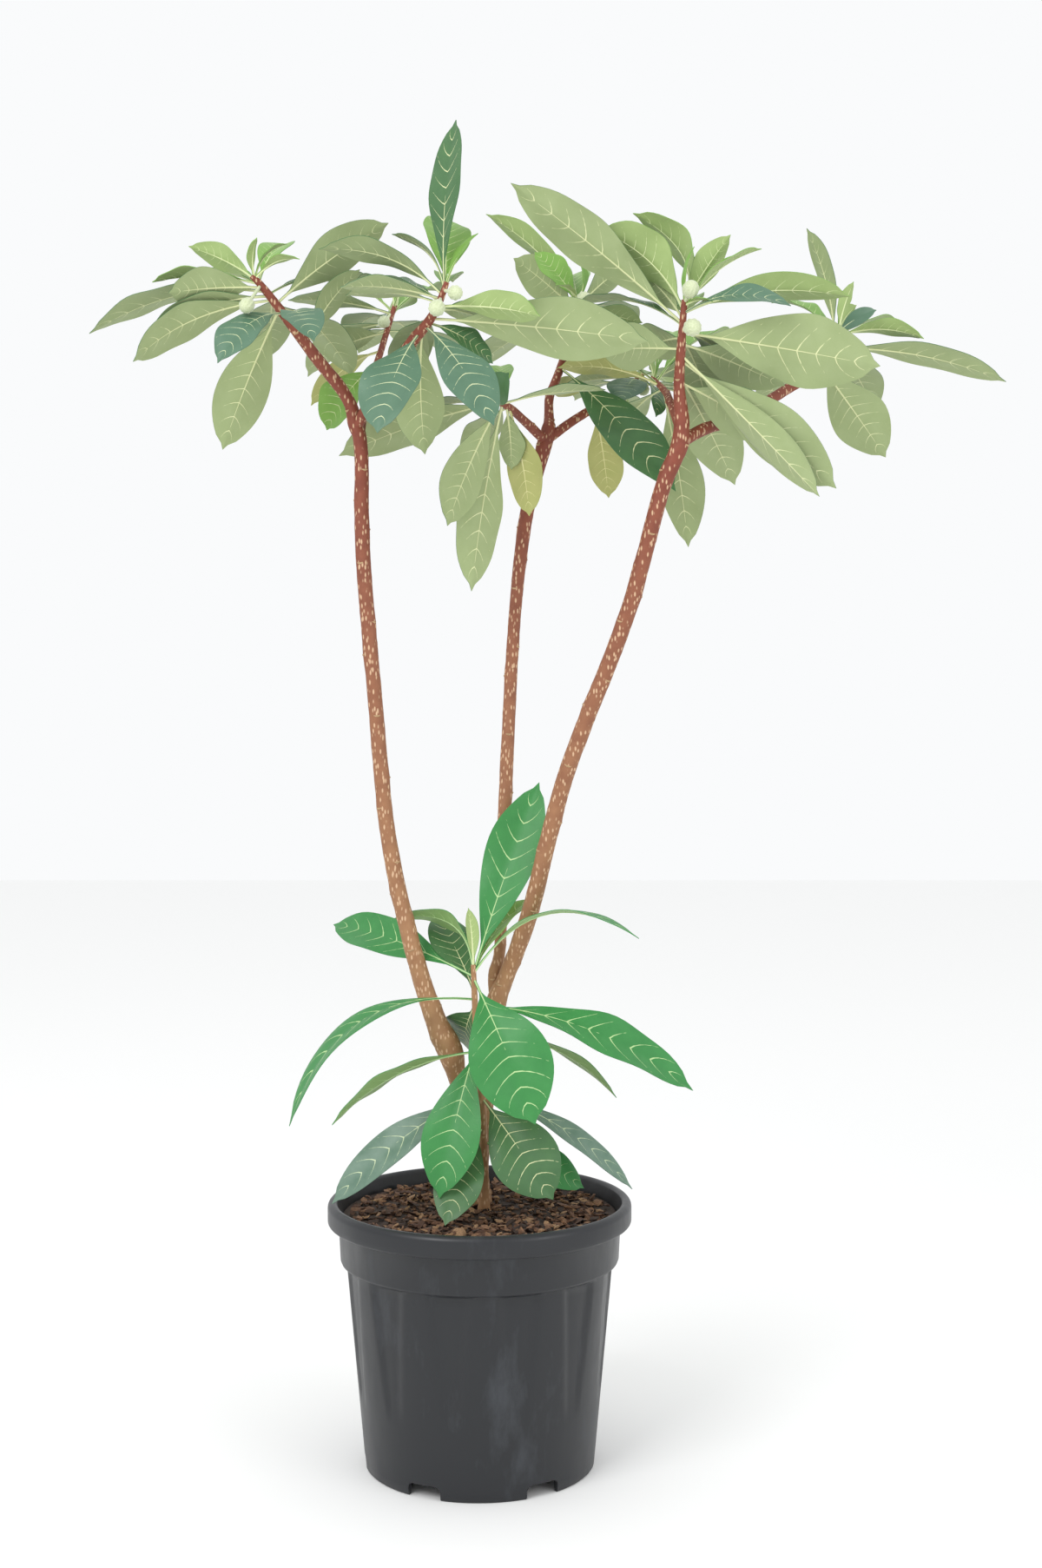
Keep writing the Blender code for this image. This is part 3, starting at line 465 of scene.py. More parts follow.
chip_bm = bmesh.new()
for k in range(CHIP_COUNT):
    radius = (BED_RADIUS - 7 * MM) * math.sqrt(random_chip.random())
    angle = random_chip.uniform(0, 2 * math.pi)
    length = random_chip.uniform(*CHIP_LENGTH) * MM * random_chip.uniform(0.6, 1.1)
    width = length * random_chip.uniform(*CHIP_WIDTH_SHARE)
    size = Matrix.Diagonal((length, width, random_chip.uniform(*CHIP_THICKNESS) * MM, 1.0))
    roll = Matrix.Rotation(random_chip.gauss(0, 0.35), 4, "X")
    tilt = roll @ Matrix.Rotation(random_chip.gauss(0, 0.3), 4, "Y")
    turn = Matrix.Rotation(random_chip.uniform(0, 2 * math.pi), 4, "Z")
    height = MULCH_LEVEL + random_chip.uniform(-2, 2) * MM
    place = Matrix.Translation((radius * math.cos(angle), radius * math.sin(angle), height))
    chip = bmesh.ops.create_icosphere(chip_bm, subdivisions=1, radius=0.6, matrix=place @ turn @ tilt @ size)
    finish_index = random_chip.choices(range(len(MULCH_COLOURS)), weights=CHIP_WEIGHTS)[0]
    for vert in chip["verts"]:
        shift = [random_chip.uniform(-CHIP_RAGGEDNESS, CHIP_RAGGEDNESS) * MM for _ in range(3)]
        vert.co += Vector(shift)
        for face in vert.link_faces:
            face.material_index = finish_index
finish_piece("mulch_chips", chip_bm, chip_finishes, sharp=25.0)

# %% [markdown]
# ## Lines of growth
#
# A paperbush forks by threes: each stem ends where three new ones begin. The plant is kept as ten lines
# of growth, each from its foot to a shoot's tip, and the CAD cuts the same lines into trunk, stems and
# boughs. A few points with their girth are enough, because a smooth curve is drawn through them. Points
# are given in centimetres to the right, back and up, and girths in millimetres. Beside them stands each
# limb that the CAD cuts from the line, with the number of the point where it ends.

# %% The ten lines
Line = namedtuple("Line", "points ends rooted", defaults=[False])
LINES = {
    "right_upper": Line(
        (
            (-0.3, 3.5, 25.2, 30), (-0.2, 3.4, 28.5, 21), (0.2, 3.1, 33.5, 19), (1, 2.5, 40, 18),
            (1.5, 2, 45.3, 21), (2.7, 2, 48.6, 16.5), (5, 0, 55.1, 17), (8.5, -3, 68.9, 16),
            (14.1, -6, 83.9, 15.5), (17.3, -7.5, 95.6, 15), (19.1, -8, 100.6, 16),
            (18.9, -8.6, 105.5, 10.5), (19, -9.2, 108.7, 8.5), (19.3, -9.5, 113.3, 5.5),
        ),
        {"trunk": 4, "right_stem": 10, "right_upper_bough": 11},
        rooted=True,
    ),
    "middle_centre": Line(
        (
            (1.7, 2.3, 44.8, 13), (1.4, 3, 48.4, 12), (2, 3.5, 51.4, 11.5), (2.4, 5, 63.5, 13.5),
            (3.4, 7, 83.4, 12.5), (4.7, 7.5, 94.9, 14), (6.7, 6.5, 102.4, 15), (6.9, 7.2, 104.1, 10),
            (7, 8.5, 106.6, 9), (7.9, 10, 109.1, 8.5), (9.4, 12, 113.9, 6.5), (10.2, 13, 117.5, 5),
        ),
        {"middle_stem": 6, "middle_centre_bough": 7},
    ),
    "left_outer": Line(
        (
            (0, 3.2, 28.5, 15), (-1, 2.8, 32.5, 16), (-2.2, 1.8, 37.8, 17), (-3, 1, 41.2, 26),
            (-4.7, 1, 45, 20), (-6.9, 0.5, 52.5, 17), (-9, 0, 62.7, 15.5), (-10.2, -0.5, 76, 14.5),
            (-11.3, -1, 90.2, 14.5), (-11.4, -1.5, 100.2, 13.5), (-12, -1.5, 102.8, 14),
            (-12.7, -1.8, 105.2, 12), (-16.1, -3, 109.6, 11.5), (-20.3, -4.5, 115.1, 7.5),
            (-21.5, -5, 116.3, 5),
        ),
        {"left_stem": 10, "left_outer_bough": 12},
    ),
    "left_inner": Line(
        (
            (-11.9, -1.5, 102.4, 11), (-9.2, -4.5, 106.3, 11), (-6.3, -8, 109.4, 11), (-4.5, -10, 111.2, 9),
            (-3.5, -11.5, 112.6, 7), (-2.7, -12, 114.5, 5),
        ),
        {"left_inner_bough": 2},
    ),
    "left_back": Line(
        (
            (-11.5, -1.5, 101.7, 9), (-11.2, 3.5, 106, 8), (-10.1, 10, 111.7, 6.5), (-9, 14, 116.6, 5),
        ),
        {"left_back_bough": 1},
    ),
    "middle_left": Line(
        (
            (6.5, 6.5, 102, 10), (4.2, 2.5, 103.7, 8.5), (3.1, 0, 104.4, 8), (1.8, -4, 104.7, 6),
        ),
        {"middle_left_bough": 1},
    ),
    "middle_right": Line(
        (
            (6.9, 6.5, 102.2, 10), (9.4, 7.5, 104.1, 9), (12.1, 9, 105.9, 8.5), (15, 11, 107.9, 7),
            (16.6, 12, 109.2, 5),
        ),
        {"middle_right_bough": 1},
    ),
    "right_outer": Line(
        (
            (19.2, -8, 100.4, 12), (21.4, -6, 101.7, 11.5), (25.6, -2, 103.6, 11), (30.5, 3, 106.7, 10),
            (32.7, 5, 108.2, 9), (34.7, 6.2, 110.7, 6.5), (36.2, 7, 113.2, 5),
        ),
        {"right_outer_bough": 4},
    ),
    "right_back": Line(
        (
            (19.1, -8, 101.4, 9), (18.4, -3, 104.8, 7.5), (18.2, 1, 106.2, 7), (17.2, 5, 108, 5),
        ),
        {"right_back_bough": 1},
    ),
    "young": Line(
        (
            (0.4, 0.5, 25.2, 13), (0.5, 0.2, 27.5, 9), (0.4, -0.3, 31, 8.5), (0.2, -1, 37, 8),
            (-0.2, -1, 41, 7.5), (-0.6, -1, 50, 5),
        ),
        {"young_stem": 2},
        rooted=True,
    ),
}

# %% [markdown]
# ## A smooth curve through points
#
# A Catmull-Rom curve passes through its points and bends evenly between them, for the place and the girth
# alike. At each of its stations the direction and a side vector are kept. Each side vector is the one
# before, squared up to the new direction, so that the skin on it doesn't twist.

# %% Stations along a line
Station = namedtuple("Station", "centre along side radius")


def smooth_points(knots, step):
    """Points of a smooth curve through the knots, and where in them each knot lies."""
    ends = [2 * knots[0] - knots[1], *knots, 2 * knots[-1] - knots[-2]]
    points = [knots[0]]
    places = [0]
    for before, start, end, after in zip(ends, ends[1:], ends[2:], ends[3:]):
        pieces = max(1, round((end - start).xyz.length / step))
        for k in range(1, pieces + 1):
            t = k / pieces
            drift = (end - before) * t
            bend = (2 * before - 5 * start + 4 * end - after) * t ** 2
            turn = (3 * start - before - 3 * end + after) * t ** 3
            points.append(start + (drift + bend + turn) / 2)
        places.append(len(points) - 1)
    return points, places


def stations_of(line, step):
    """Centre, direction, side and radius along a line of growth."""
    knots = [Vector((x * CM, y * CM, z * CM, girth * MM / 2)) for x, y, z, girth in line.points]
    points, places = smooth_points(knots, step)
    side = Vector((1.0, 0.0, 0.0))
    found = []
    for k, point in enumerate(points):
        before = points[max(0, k - 1)].xyz
        after = points[min(len(points) - 1, k + 1)].xyz
        along = (after - before).normalized()
        if k == 0 and line.rooted:
            along = UP.copy()
        side = (side - along * side.dot(along)).normalized()
        found.append(Station(point.xyz, along, side, point.w))
    return found, places


def point_below(stations, below):
    """The point of a twig's axis that lies so far below its tip."""
    for upper, lower in zip(stations[::-1], stations[-2::-1]):
        length = (upper.centre - lower.centre).length
        if below <= length:
            return upper.centre.lerp(lower.centre, below / length)
        below -= length
    return stations[0].centre


# %% [markdown]
# ## Bark
#
# Young paperbush bark is thin and smooth. It is tan on the old wood near the pot and deep red brown
# higher up, and it is sprinkled with short pale pores, the lenticels, which stretch along the stem. The
# tan to red change follows height, and the pores are cells of a Voronoi pattern drawn out along Z.

# %% Bark material
PORE_SPACING = 3.2 * MM
BLOTCH_SIZE = 11 * MM
RED_BARK_STARTS = 0.45
RED_BARK_FULL = 0.98

bark_finish, tree, shader = start_material("young_paperbush_bark", Roughness=0.62)
place = add_node(tree, "TexCoord").outputs["Object"]
height = add_node(tree, "SeparateXYZ", {"Vector": place}).outputs["Z"]
limits = {"Value": height, "From Min": RED_BARK_STARTS, "From Max": RED_BARK_FULL}
youth = add_node(tree, "MapRange", limits).outputs["Result"]
blotches, tan = mottle(tree, place, BLOTCH_SIZE, (colour("#8c5f40"), colour("#b08a60")), Detail=3.0)
reds = {0: blotches, MIX_A: colour("#6b2c1f"), MIX_B: colour("#8f4a34")}
red = add_node(tree, "Mix", reds, data_type="RGBA").outputs[MIX_RESULT]
skin = add_node(tree, "Mix", {0: youth, MIX_A: tan, MIX_B: red}, data_type="RGBA").outputs[MIX_RESULT]

drawn_out = add_node(tree, "Mapping", {"Vector": place, "Scale": (1.0, 1.0, 0.38)}).outputs["Vector"]
cells = {"Vector": drawn_out, "Scale": 1 / PORE_SPACING, "Randomness": 0.9}
distance = add_node(tree, "TexVoronoi", cells).outputs["Distance"]
limits = {"Value": distance, "From Min": 0.36, "From Max": 0.2}
pores = add_node(tree, "MapRange", limits).outputs["Result"]
sprinkled = add_node(tree, "Mix", {0: pores, MIX_A: skin, MIX_B: colour("#cda987")}, data_type="RGBA")
dress(tree, shader, sprinkled.outputs[MIX_RESULT], pores, 0.6, 0.4 * MM)

scar_finish, tree, shader = start_material("corky_leaf_scar", Roughness=0.8)
place = add_node(tree, "TexCoord").outputs["Object"]
dress(tree, shader, mottle(tree, place, 1.5 * MM, (colour("#8a6747"), colour("#c9ab84")))[1])
print("Bark materials:", bark_finish.name, scar_finish.name)

# %% [markdown]
# ## Stems and boughs
#
# A stem is a grid rolled into a tube: one side of the grid follows the line, the other goes round it, and
# the seam is merged. That is one operator and one function for the place of each point, so the relief
# can be worked in at once: low wrinkles along the bark, and a swelling under every leaf scar. The scars
# themselves are small lens-shaped ledges, one every few centimetres, turned by the golden angle.

# %% Roll the stems
STEM_STEP = 5 * MM
STEM_SIDES = 20
GOLDEN_ANGLE = math.radians(137.5)
WRINKLE = 0.045
WRINKLE_SIZE = 2.5 * MM
WRINKLE_DRAWN_OUT = 0.25
SCAR_SPACING = 27 * MM
BOUGH_SCAR_START = 30 * MM
TRUNK_SCAR_START = 45 * MM
LEAFY_END = 45 * MM
SWELLING = 0.10
SCAR_HALF_WIDTH = 0.5
SCAR_HALF_HEIGHT = 1.1 * MM
SCAR_BEND = 0.9 * MM
SCAR_WRAP = 0.12
SCAR_SEAT = 1.04
SCAR_FIRST_TURN = 2.1


def length_along(stations):
    """How far each station is from the first, along the line."""
    total = 0.0
    lengths = [0.0]
    for near, far in zip(stations, stations[1:]):
        total += (far.centre - near.centre).length
        lengths.append(total)
    return lengths


def outwards_at(station, turn):
    """The direction out of a line's skin, at an angle round it."""
    return station.side * math.cos(turn) + station.along.cross(station.side) * math.sin(turn)


def rolled_tube(bm, stations, sides, relief, finish_index=0):
    """Roll a grid round the stations into a closed tube. relief gives the radius's share by place."""
    rows = len(stations)
    made = bmesh.ops.create_grid(bm, x_segments=rows - 1, y_segments=sides, size=0.5)["verts"]
    for vert in made:
        row = round((vert.co.x + 0.5) * (rows - 1))
        turn = 2 * math.pi * (vert.co.y + 0.5)
        outwards = outwards_at(stations[row], turn)
        vert.co = stations[row].centre + outwards * stations[row].radius * relief(row, turn, outwards)
    faces = list({face for vert in made for face in vert.link_faces})
    bmesh.ops.remove_doubles(bm, verts=made, dist=stations[-1].radius * 1e-3)
    faces = [face for face in faces if face.is_valid]
    rim = [edge for edge in {edge for face in faces for edge in face.edges} if edge.is_boundary]
    for face in faces + bmesh.ops.holes_fill(bm, edges=rim, sides=0)["faces"]:
        face.material_index = finish_index


def stem_relief(stations, scar_places):
    """A stem's wrinkles, and the swellings under its scars, as a function for rolled_tube."""
    swellings = {row + k: (turn, 1 - abs(k) / 3) for row, turn in scar_places for k in range(-2, 3)}

    def relief(row, turn, outwards):
        point = stations[row].centre + outwards * 4 * MM
        point.z *= WRINKLE_DRAWN_OUT
        share = 1 + WRINKLE * noise.noise(point / WRINKLE_SIZE)
        if row in swellings:
            scar_turn, strength = swellings[row]
            share += SWELLING * strength * max(0.0, math.cos(turn - scar_turn)) ** 3
        return share

    return relief


def add_scar(bm, station, turn):
    """A lens-shaped ledge across the stem, with its ends bent up and round."""
    outwards = outwards_at(station, turn)
    sideways = station.along.cross(outwards)
    basis = Matrix((sideways, outwards, station.along)).transposed().to_4x4()
    place = Matrix.Translation(station.centre + outwards * station.radius * SCAR_SEAT)
    half_width = SCAR_HALF_WIDTH * station.radius
    size = Matrix.Diagonal((half_width, SCAR_HALF_HEIGHT, SCAR_HALF_HEIGHT, 1.0))
    ledge = bmesh.ops.create_icosphere(bm, subdivisions=2, radius=1.0, matrix=place @ basis @ size)
    bend = station.along * SCAR_BEND - outwards * SCAR_WRAP * station.radius
    for vert in ledge["verts"]:
        vert.co += bend * ((vert.co - station.centre).dot(sideways) / half_width) ** 2


bark_bm = bmesh.new()
scar_bm = bmesh.new()
scars = 0
for number, line in enumerate(LINES.values()):
    stations, _ = stations_of(line, STEM_STEP)
    lengths = length_along(stations)
    turn = SCAR_FIRST_TURN * number
    wanted = TRUNK_SCAR_START if line.rooted else BOUGH_SCAR_START
    scar_places = []
    for row, length in enumerate(lengths):
        if length >= wanted and lengths[-1] - length > LEAFY_END:
            turn += GOLDEN_ANGLE
            scar_places.append((row, turn))
            wanted = length + SCAR_SPACING
    rolled_tube(bark_bm, stations, STEM_SIDES, stem_relief(stations, scar_places))
    for row, scar_turn in scar_places:
        add_scar(scar_bm, stations[row], scar_turn)
    scars += len(scar_places)

limb_nodes = [node for line in LINES.values() for node in line.ends]
finish_piece("bark_of_stems", bark_bm, [bark_finish], limb_nodes, sharp=60.0)
finish_piece("leaf_scars", scar_bm, [scar_finish], sharp=60.0)
print("Leaf scars:", scars)

# %% [markdown]
# ## Where the leaves are
#
# The leaves stand in whorls at the ends of the shoots. Those that the front view shows have a row each:
# how far below the tip the leaf grows, where its own tip reaches, its width, which way it faces, how much
# it arches, and its kind, where that isn't mature. The leaves behind follow a rule: they turn by the golden
# angle, spread by a seed, and are only kept where they touch nothing. This is the CAD's rule, so both agree.

# %% Leaf rows
Leaf = namedtuple("Leaf", "below right back up width facing arch kind", defaults=["mature"])
LEAVES = {
    "left_outer": (
        (8.2, 5, 2, 7.5, 3.4, 125, 0.08),
        (5, 3.5, -8.5, -3.5, 4, 40, 0.15, "bloomed"),
        (4.5, -5.5, -7.5, -5.5, 4.4, 35, 0.15, "bloomed"),
        (4, -6, 3.5, -13, 5.4, 155, 0.06),
        (3.5, 10.5, 4, 8.5, 4.8, 138, 0.06),
        (3, -12.5, -5, -6.5, 4.4, 130, 0.14),
        (2.5, -11, -3, -3.5, 3.6, 120, 0.08),
        (2, -17.5, 3, -3.5, 4, 108, 0.1),
        (1.5, -8.5, -4, -1, 4.2, 148, 0.06),
        (1, -10.5, 2, 0.5, 3.2, 98, 0.06, "fresh"),
        (0.6, -7, 4, 4, 2.8, 145, 0.08, "fresh"),
        (0.4, 0.5, -1, 3.5, 1.4, 120, 0.1, "fresh"),
        (0.4, 3, 1, 3.5, 1.6, 80, 0.15, "fresh"),
        (0.4, 4.5, -2, 1.5, 1.6, 110, 0.15, "fresh"),
    ),
    "left_inner": (
        (6, -3.5, -7, -10, 6, 25, 0.08, "bloomed"),
        (5.5, 0, 5.5, -11, 5.2, 150, 0.05),
        (5, 6.5, -7.5, -10, 5, 28, 0.08, "bloomed"),
        (4.5, 6, 2, -3.5, 3.4, 45, 0.1),
        (4, 20, -3, -2.5, 6.2, 148, 0.03),
        (4, -3.5, 7, -7.5, 4.2, 145, 0.08),
        (3, 6.5, 7.5, 0.5, 3, 130, 0.06),
        (2.5, 9.5, -4, -1.5, 3.4, 140, 0.08, "fresh"),
        (2, -9, 5, 1.5, 3, 100, 0.06),
        (1.6, -9, -3, 0.5, 3.2, 112, 0.06),
        (1.2, -11.5, 2, 4.5, 3.6, 118, 0.14),
        (0.8, -0.5, 8, 8, 5, 20, 0.1, "fresh"),
        (0.6, 1, 3, 16, 4.2, 45, 0.04),
        (0.6, -5, 5, 5.5, 2, 95, 0.15),
        (0.4, 3, 1, 5, 1.6, 60, 0.08, "fresh"),
    ),
    "left_back": (
        (9.5, -5, 0, -6.5, 5.2, 30, 0.12, "fresh"),
        (9, 6, 8, -2.5, 4, 60, 0.1),
        (7, -7.5, 4, -5, 3, 130, 0.14, "turning"),
        (4, -6, -2.5, -2.5, 3.6, 130, 0.06),
        (3.5, -3.5, 6.5, -1.5, 2.8, 120, 0.08),
        (2.5, -8.5, 3, -2, 3, 112, 0.05),
        (1.2, -10.5, -2.5, 1, 3.2, 113, 0.06),
        (0.8, 0, 8.5, 3.5, 4.2, 150, 0.05, "fresh"),
        (0.4, -1, 0, 3, 1.2, 120, 0.1, "fresh"),
        (0.3, 1.5, 1, 2.5, 1.2, 60, 0.1, "fresh"),
    ),
    "middle_left": (
        (3.6, 2, 0, -10.5, 4, 150, 0.06, "turning"),
        (2.8, 0.5, 2.5, -6, 3, 150, 0.05),
        (1.6, -3, 0.5, -18, 5, 150, 0.03),
        (1, -5, -2, -12, 4.6, 150, 0.06),
        (1.6, 10, 1.5, 1.5, 3, 100, 0.04),
        (0.8, -16, 3.5, -4.5, 5, 140, 0.05),
        (0.5, 1, -5.5, 2, 3.2, 25, 0.15),
    ),
    "middle_centre": (
        (11.5, 3.5, 3, 1, 2.4, 140, 0.1, "turning"),
        (8.5, 11, -12, -13.5, 5.6, 25, 0.05),
        (6.5, 6.5, 2.5, 0, 3, 120, 0.12, "turning"),
        (2.4, 2.5, -4, -1.5, 2.8, 150, 0.1, "fresh"),
        (2, 7, 3, -0.5, 3, 130, 0.06),
        (1.8, -6.5, 3, 6, 4.6, 150, 0.06),
        (1.4, 6.5, 4, 6, 3.2, 140, 0.06),
        (1.2, -9.5, 2, 10, 3.4, 125, 0.1, "fresh"),
        (1, -4.5, 4, 5.5, 3.4, 30, 0.08, "fresh"),
        (0.5, 0, -1, 3.5, 1.6, 70, 0.12, "fresh"),
        (0.5, -2.5, -2, 1, 1.4, 100, 0.1, "fresh"),
    ),
    "middle_right": (
        (7, 1.5, 2, -9, 4, 155, 0.04, "turning"),
        (4, -0.5, 4.5, -4, 2.8, 150, 0.06),
        (2, -0.5, 3, -5, 1.6, 150, 0.06, "fresh"),
        (0.8, -2, -6, -3, 4.2, 30, 0.1, "speckled"),
        (0.6, 1.5, -3, -4.5, 2.6, 60, 0.15),
        (0.8, -8, 0, -1, 2.6, 105, 0.08),
        (0.5, 3, 3, 3.5, 2.6, 110, 0.1, "fresh"),
    ),
    "right_back": (
        (4, 3, 6.5, -15, 4.8, 155, 0.04),
        (2.5, -10, 2, 2, 3.6, 118, 0.1, "turning"),
        (0.8, 6, 5.5, 2.5, 3.2, 120, 0.08),
        (0.5, -1.5, 3.5, 4, 2.6, 110, 0.08, "fresh"),
        (0.4, 0, 1.5, 2.5, 1.4, 80, 0.08, "fresh"),
    ),
    "right_upper": (
        (7.5, 9.5, 5, -5, 5.2, 150, 0.04),
        (7, 6.5, 10, -9, 5.4, 155, 0.05),
        (5.5, 14.5, 1, -12, 5.6, 152, 0.04),
        (5, 12.5, -4, -13.5, 5, 160, 0.03, "folded"),
        (4.5, -7.5, 1, 0, 5, 148, 0.05),
        (4, 10.5, 7, -3, 4.6, 148, 0.04),
        (3.5, -4, 6, -0.5, 4.4, 140, 0.08),
        (3, 18, -3, -3.5, 7, 158, 0.03),
        (2.2, -16, -2, 12.5, 5, 150, 0.04),
        (1.8, -5, 5, 6.5, 3.2, 140, 0.08),
        (1.2, 9.5, -4, 0, 3.2, 55, 0.14, "bloomed"),
        (1.2, 16, 3, 2, 3.8, 130, 0.12, "fresh"),
        (1, -4.5, 5, 10, 4.2, 112, 0.22, "fresh"),
        (1, -8, -1, 7.5, 5.2, 140, 0.2, "fresh"),
        (0.6, 4.5, 2, 7, 3, 155, 0.06, "fresh"),
        (0.5, 2.5, -4, 0, 1.2, 90, 0.1, "fresh"),
        (0.4, 1, 1, 5.5, 1.4, 80, 0.06, "fresh"),
    ),
    "right_outer": (
        (4.5, 7.5, 4, -9, 5.8, 160, 0.05),
        (3.5, -3.5, 4.5, -1.5, 4, 130, 0.05),
        (2.5, 17.5, -1.5, -3.5, 4, 118, 0.07),
        (1, 8.5, -2, -0.5, 2.4, 128, 0.14, "fresh"),
        (1.2, -2.5, 3, 11.5, 3, 118, 0.06),
        (0.8, 3.5, -3, 2, 2, 35, 0.1, "bloomed"),
        (0.6, 2.5, 3, 3.5, 2.2, 140, 0.06, "fresh"),
        (0.4, 1.5, 0, 5, 1.6, 150, 0.06, "fresh"),
    ),
    "young": (
        (17.8, 10, 1.5, -5, 4, 40, 0.1, "vivid"),
        (16.2, -3.5, -7.5, -8, 4.8, 20, 0.06),
        (13.2, 7, -5, -9, 6.8, 15, 0.08),
        (12.6, -14.5, -3, -10.5, 4, 40, 0.1, "speckled"),
        (12.6, 15, 1, -10, 2.8, 55, 0.1, "speckled"),
        (8.6, -14, -4, -6.5, 3.8, 115, 0.1, "vivid"),
        (7.8, -3.5, -5, -14, 5.8, 15, 0.06, "vivid"),
        (7, 14, 4, -7, 3, 112, 0.12, "vivid"),
        (4, -1, 5, -5, 5.2, 40, 0.08),
        (4, 21.5, 0, -8.5, 5, 50, 0.12, "vivid"),
        (3.4, -18, -3, -12, 4.6, 75, 0.22, "vivid"),
        (2.8, -4, 7, 7, 4.6, 30, 0.05),
        (1.4, 6, -7, -13, 8.2, 10, 0.1, "vivid"),
        (1.2, -15, 10, 3.5, 4.6, 35, 0.08, "vivid"),
        (0.8, 16, -2, 4, 3.8, 100, 0.24, "vivid"),
        (0.8, -8, 1, 5, 3.2, 120, 0.3, "vivid"),
        (0.8, 6.5, 4, 18.5, 5.6, 15, 0.04, "vivid"),
        (0.4, -0.5, 0, 6, 1.6, 150, 0.04, "fresh"),
    ),
}

# How many leaves grow behind, their length near the top and at the bottom (cm), and the seed.
BACK_LEAVES = {
    "left_outer": (5, 11, 15, 11),
    "left_inner": (4, 10, 14, 12),
    "left_back": (6, 12, 16, 13),
    "middle_left": (3, 9, 13, 14),
    "middle_centre": (6, 12, 17, 15),
    "middle_right": (5, 10, 14, 16),
    "right_back": (6, 11, 15, 17),
    "right_upper": (5, 11, 15, 18),
    "right_outer": (6, 11, 15, 19),
    "young": (6, 12, 17, 20),
}

BACK_SPREAD = math.radians(60)
BACK_TRIES = 60
BACK_RISE = 35
BACK_DROOP = 60
BACK_UNEVENNESS = 12
BACK_WIDTH = 0.32
BACK_ARCH = 0.1
YOUNG_SHARE = 0.3

# Flower buds: how far below the tip, the reach right, back and up (cm), and the width (mm).
BUDS = {
    "left_outer": ((1.2, -1, -2.5, -2.3, 15),),
    "left_inner": ((1.5, -0.3, -2.2, -1.3, 16), (0.8, 1.1, -1.7, -0.5, 14)),
    "left_back": ((1, -0.8, -1.6, -1.2, 13),),
    "middle_centre": ((0.8, 0.5, -1.7, 0.1, 16),),
    "middle_right": ((0.6, 0.4, -1.6, -1.3, 13),),
    "right_upper": ((0.3, 0.5, -1.1, 1.1, 16), (2.8, 0.8, -1.8, 0, 17)),
}

# %% [markdown]
# ## A leaf's shape
#
# A leaf's middle line is a shallow arch from its foot to its tip. Across it the blade folds up in a
# shallow V, and its outline swells past the middle and ends in a point. The same functions give the coarse
# blade, with which the rule tests for room, and the fine one, which is drawn.

# %% Leaf shape
LEAF_CUTS = (0.0, 0.12, 0.34, 0.58, 0.82)
STALK_SHARE = 0.12
LEAF_ROOM = 0.5 * MM
LIMB_STEP = 4 * CM
TWIG_STEP = 2.5 * CM
GAP = 0.3 * MM
SHIFTS = (0, 1, -1, 2, -2, 3, -3, 4, -4)
FOLDS = {"folded": math.radians(50), "fresh": math.radians(22)}
PLAIN_FOLD = math.radians(12)
BLADE_SWELL = 1.25
BLADE_FULLNESS = 0.85


def reach_of(leaf):
    """The way from a leaf's foot to its tip, in centimetres."""
    return Vector((leaf.right, leaf.back, leaf.up))


def leaf_axes(reach, facing):
    """The directions along, across and out of the upper side of a leaf."""
    along = reach.normalized()
    if facing is None:
        upper = (UP - along * along.z).normalized()
        return along, along.cross(upper), upper
    shown = (FRONT - along * FRONT.dot(along)).normalized()
    lifted = along.cross(shown)
    if lifted.z < 0:
        lifted.negate()
    angle = math.radians(facing)
    upper = shown * math.cos(angle) + lifted * math.sin(angle)
    return along, along.cross(upper), upper


def half_width(share, leaf, stalk):
    """Half of the leaf's width, at a share of its length."""
    blade = max(0.0, (share - STALK_SHARE) / (1 - STALK_SHARE))
    swell = max(0.0, math.sin(math.pi * blade ** BLADE_SWELL)) ** BLADE_FULLNESS
    return max(stalk, leaf.width * CM / 2 * swell)


def leaf_section(foot, leaf, share):
    """The centre of a leaf's section, and its directions across and out, at a share of its length."""
    reach = reach_of(leaf) * CM
    along, across, upper = leaf_axes(reach, leaf.facing)
    centre = foot + reach * share + upper * reach.length * leaf.arch * 4 * share * (1 - share)
    rise = (upper - along * leaf.arch * 4 * (1 - 2 * share)).normalized()
    return centre, across, rise


# %% [markdown]
# ## Room to grow
#
# A search tree answers quickly whether two meshes touch. The rule builds a coarse closed blade for each
# leaf, a hair larger than life, and tests it against limbs, buds and the leaves placed before it. A leaf
# that finds no room is moved back or forth by whole centimetres, and is left out as a last resort.

# %% Place the leaves
COARSE_THICKNESS = 1.1 * MM
COARSE_THICKNESS_SHARE = 0.013
COARSE_STALK = 1.6 * MM
COARSE_STALK_SHARE = 0.06
COARSE_BUD_LENGTH = 1.15
COARSE_BUD_STALK = 1.5 * MM
Taken = namedtuple("Taken", "owner blade whole firm")


def coarse_tree(rings, tip=None):
    """A search tree of rings skinned into a closed body, with a flat or a pointed end."""
    points = [point for ring in rings for point in ring]
    count = len(rings[0])
    last = len(points) - count
    faces = [tuple(range(count))]
    for near in range(0, last, count):
        for k in range(count):
            following = (k + 1) % count
            faces.append((near + k, near + following, near + count + following, near + count + k))
    if tip is None:
        faces.append(tuple(range(last, last + count)))
    else:
        faces += [(last + k, last + (k + 1) % count, len(points)) for k in range(count)]
        points.append(tip)
    return BVHTree.FromPolygons(points, faces)


def station_ring(station, sides, extra=0.0):
    """A ring of points round a station."""
    radius = station.radius + extra
    return [station.centre + outwards_at(station, 2 * math.pi * k / sides) * radius for k in range(sides)]


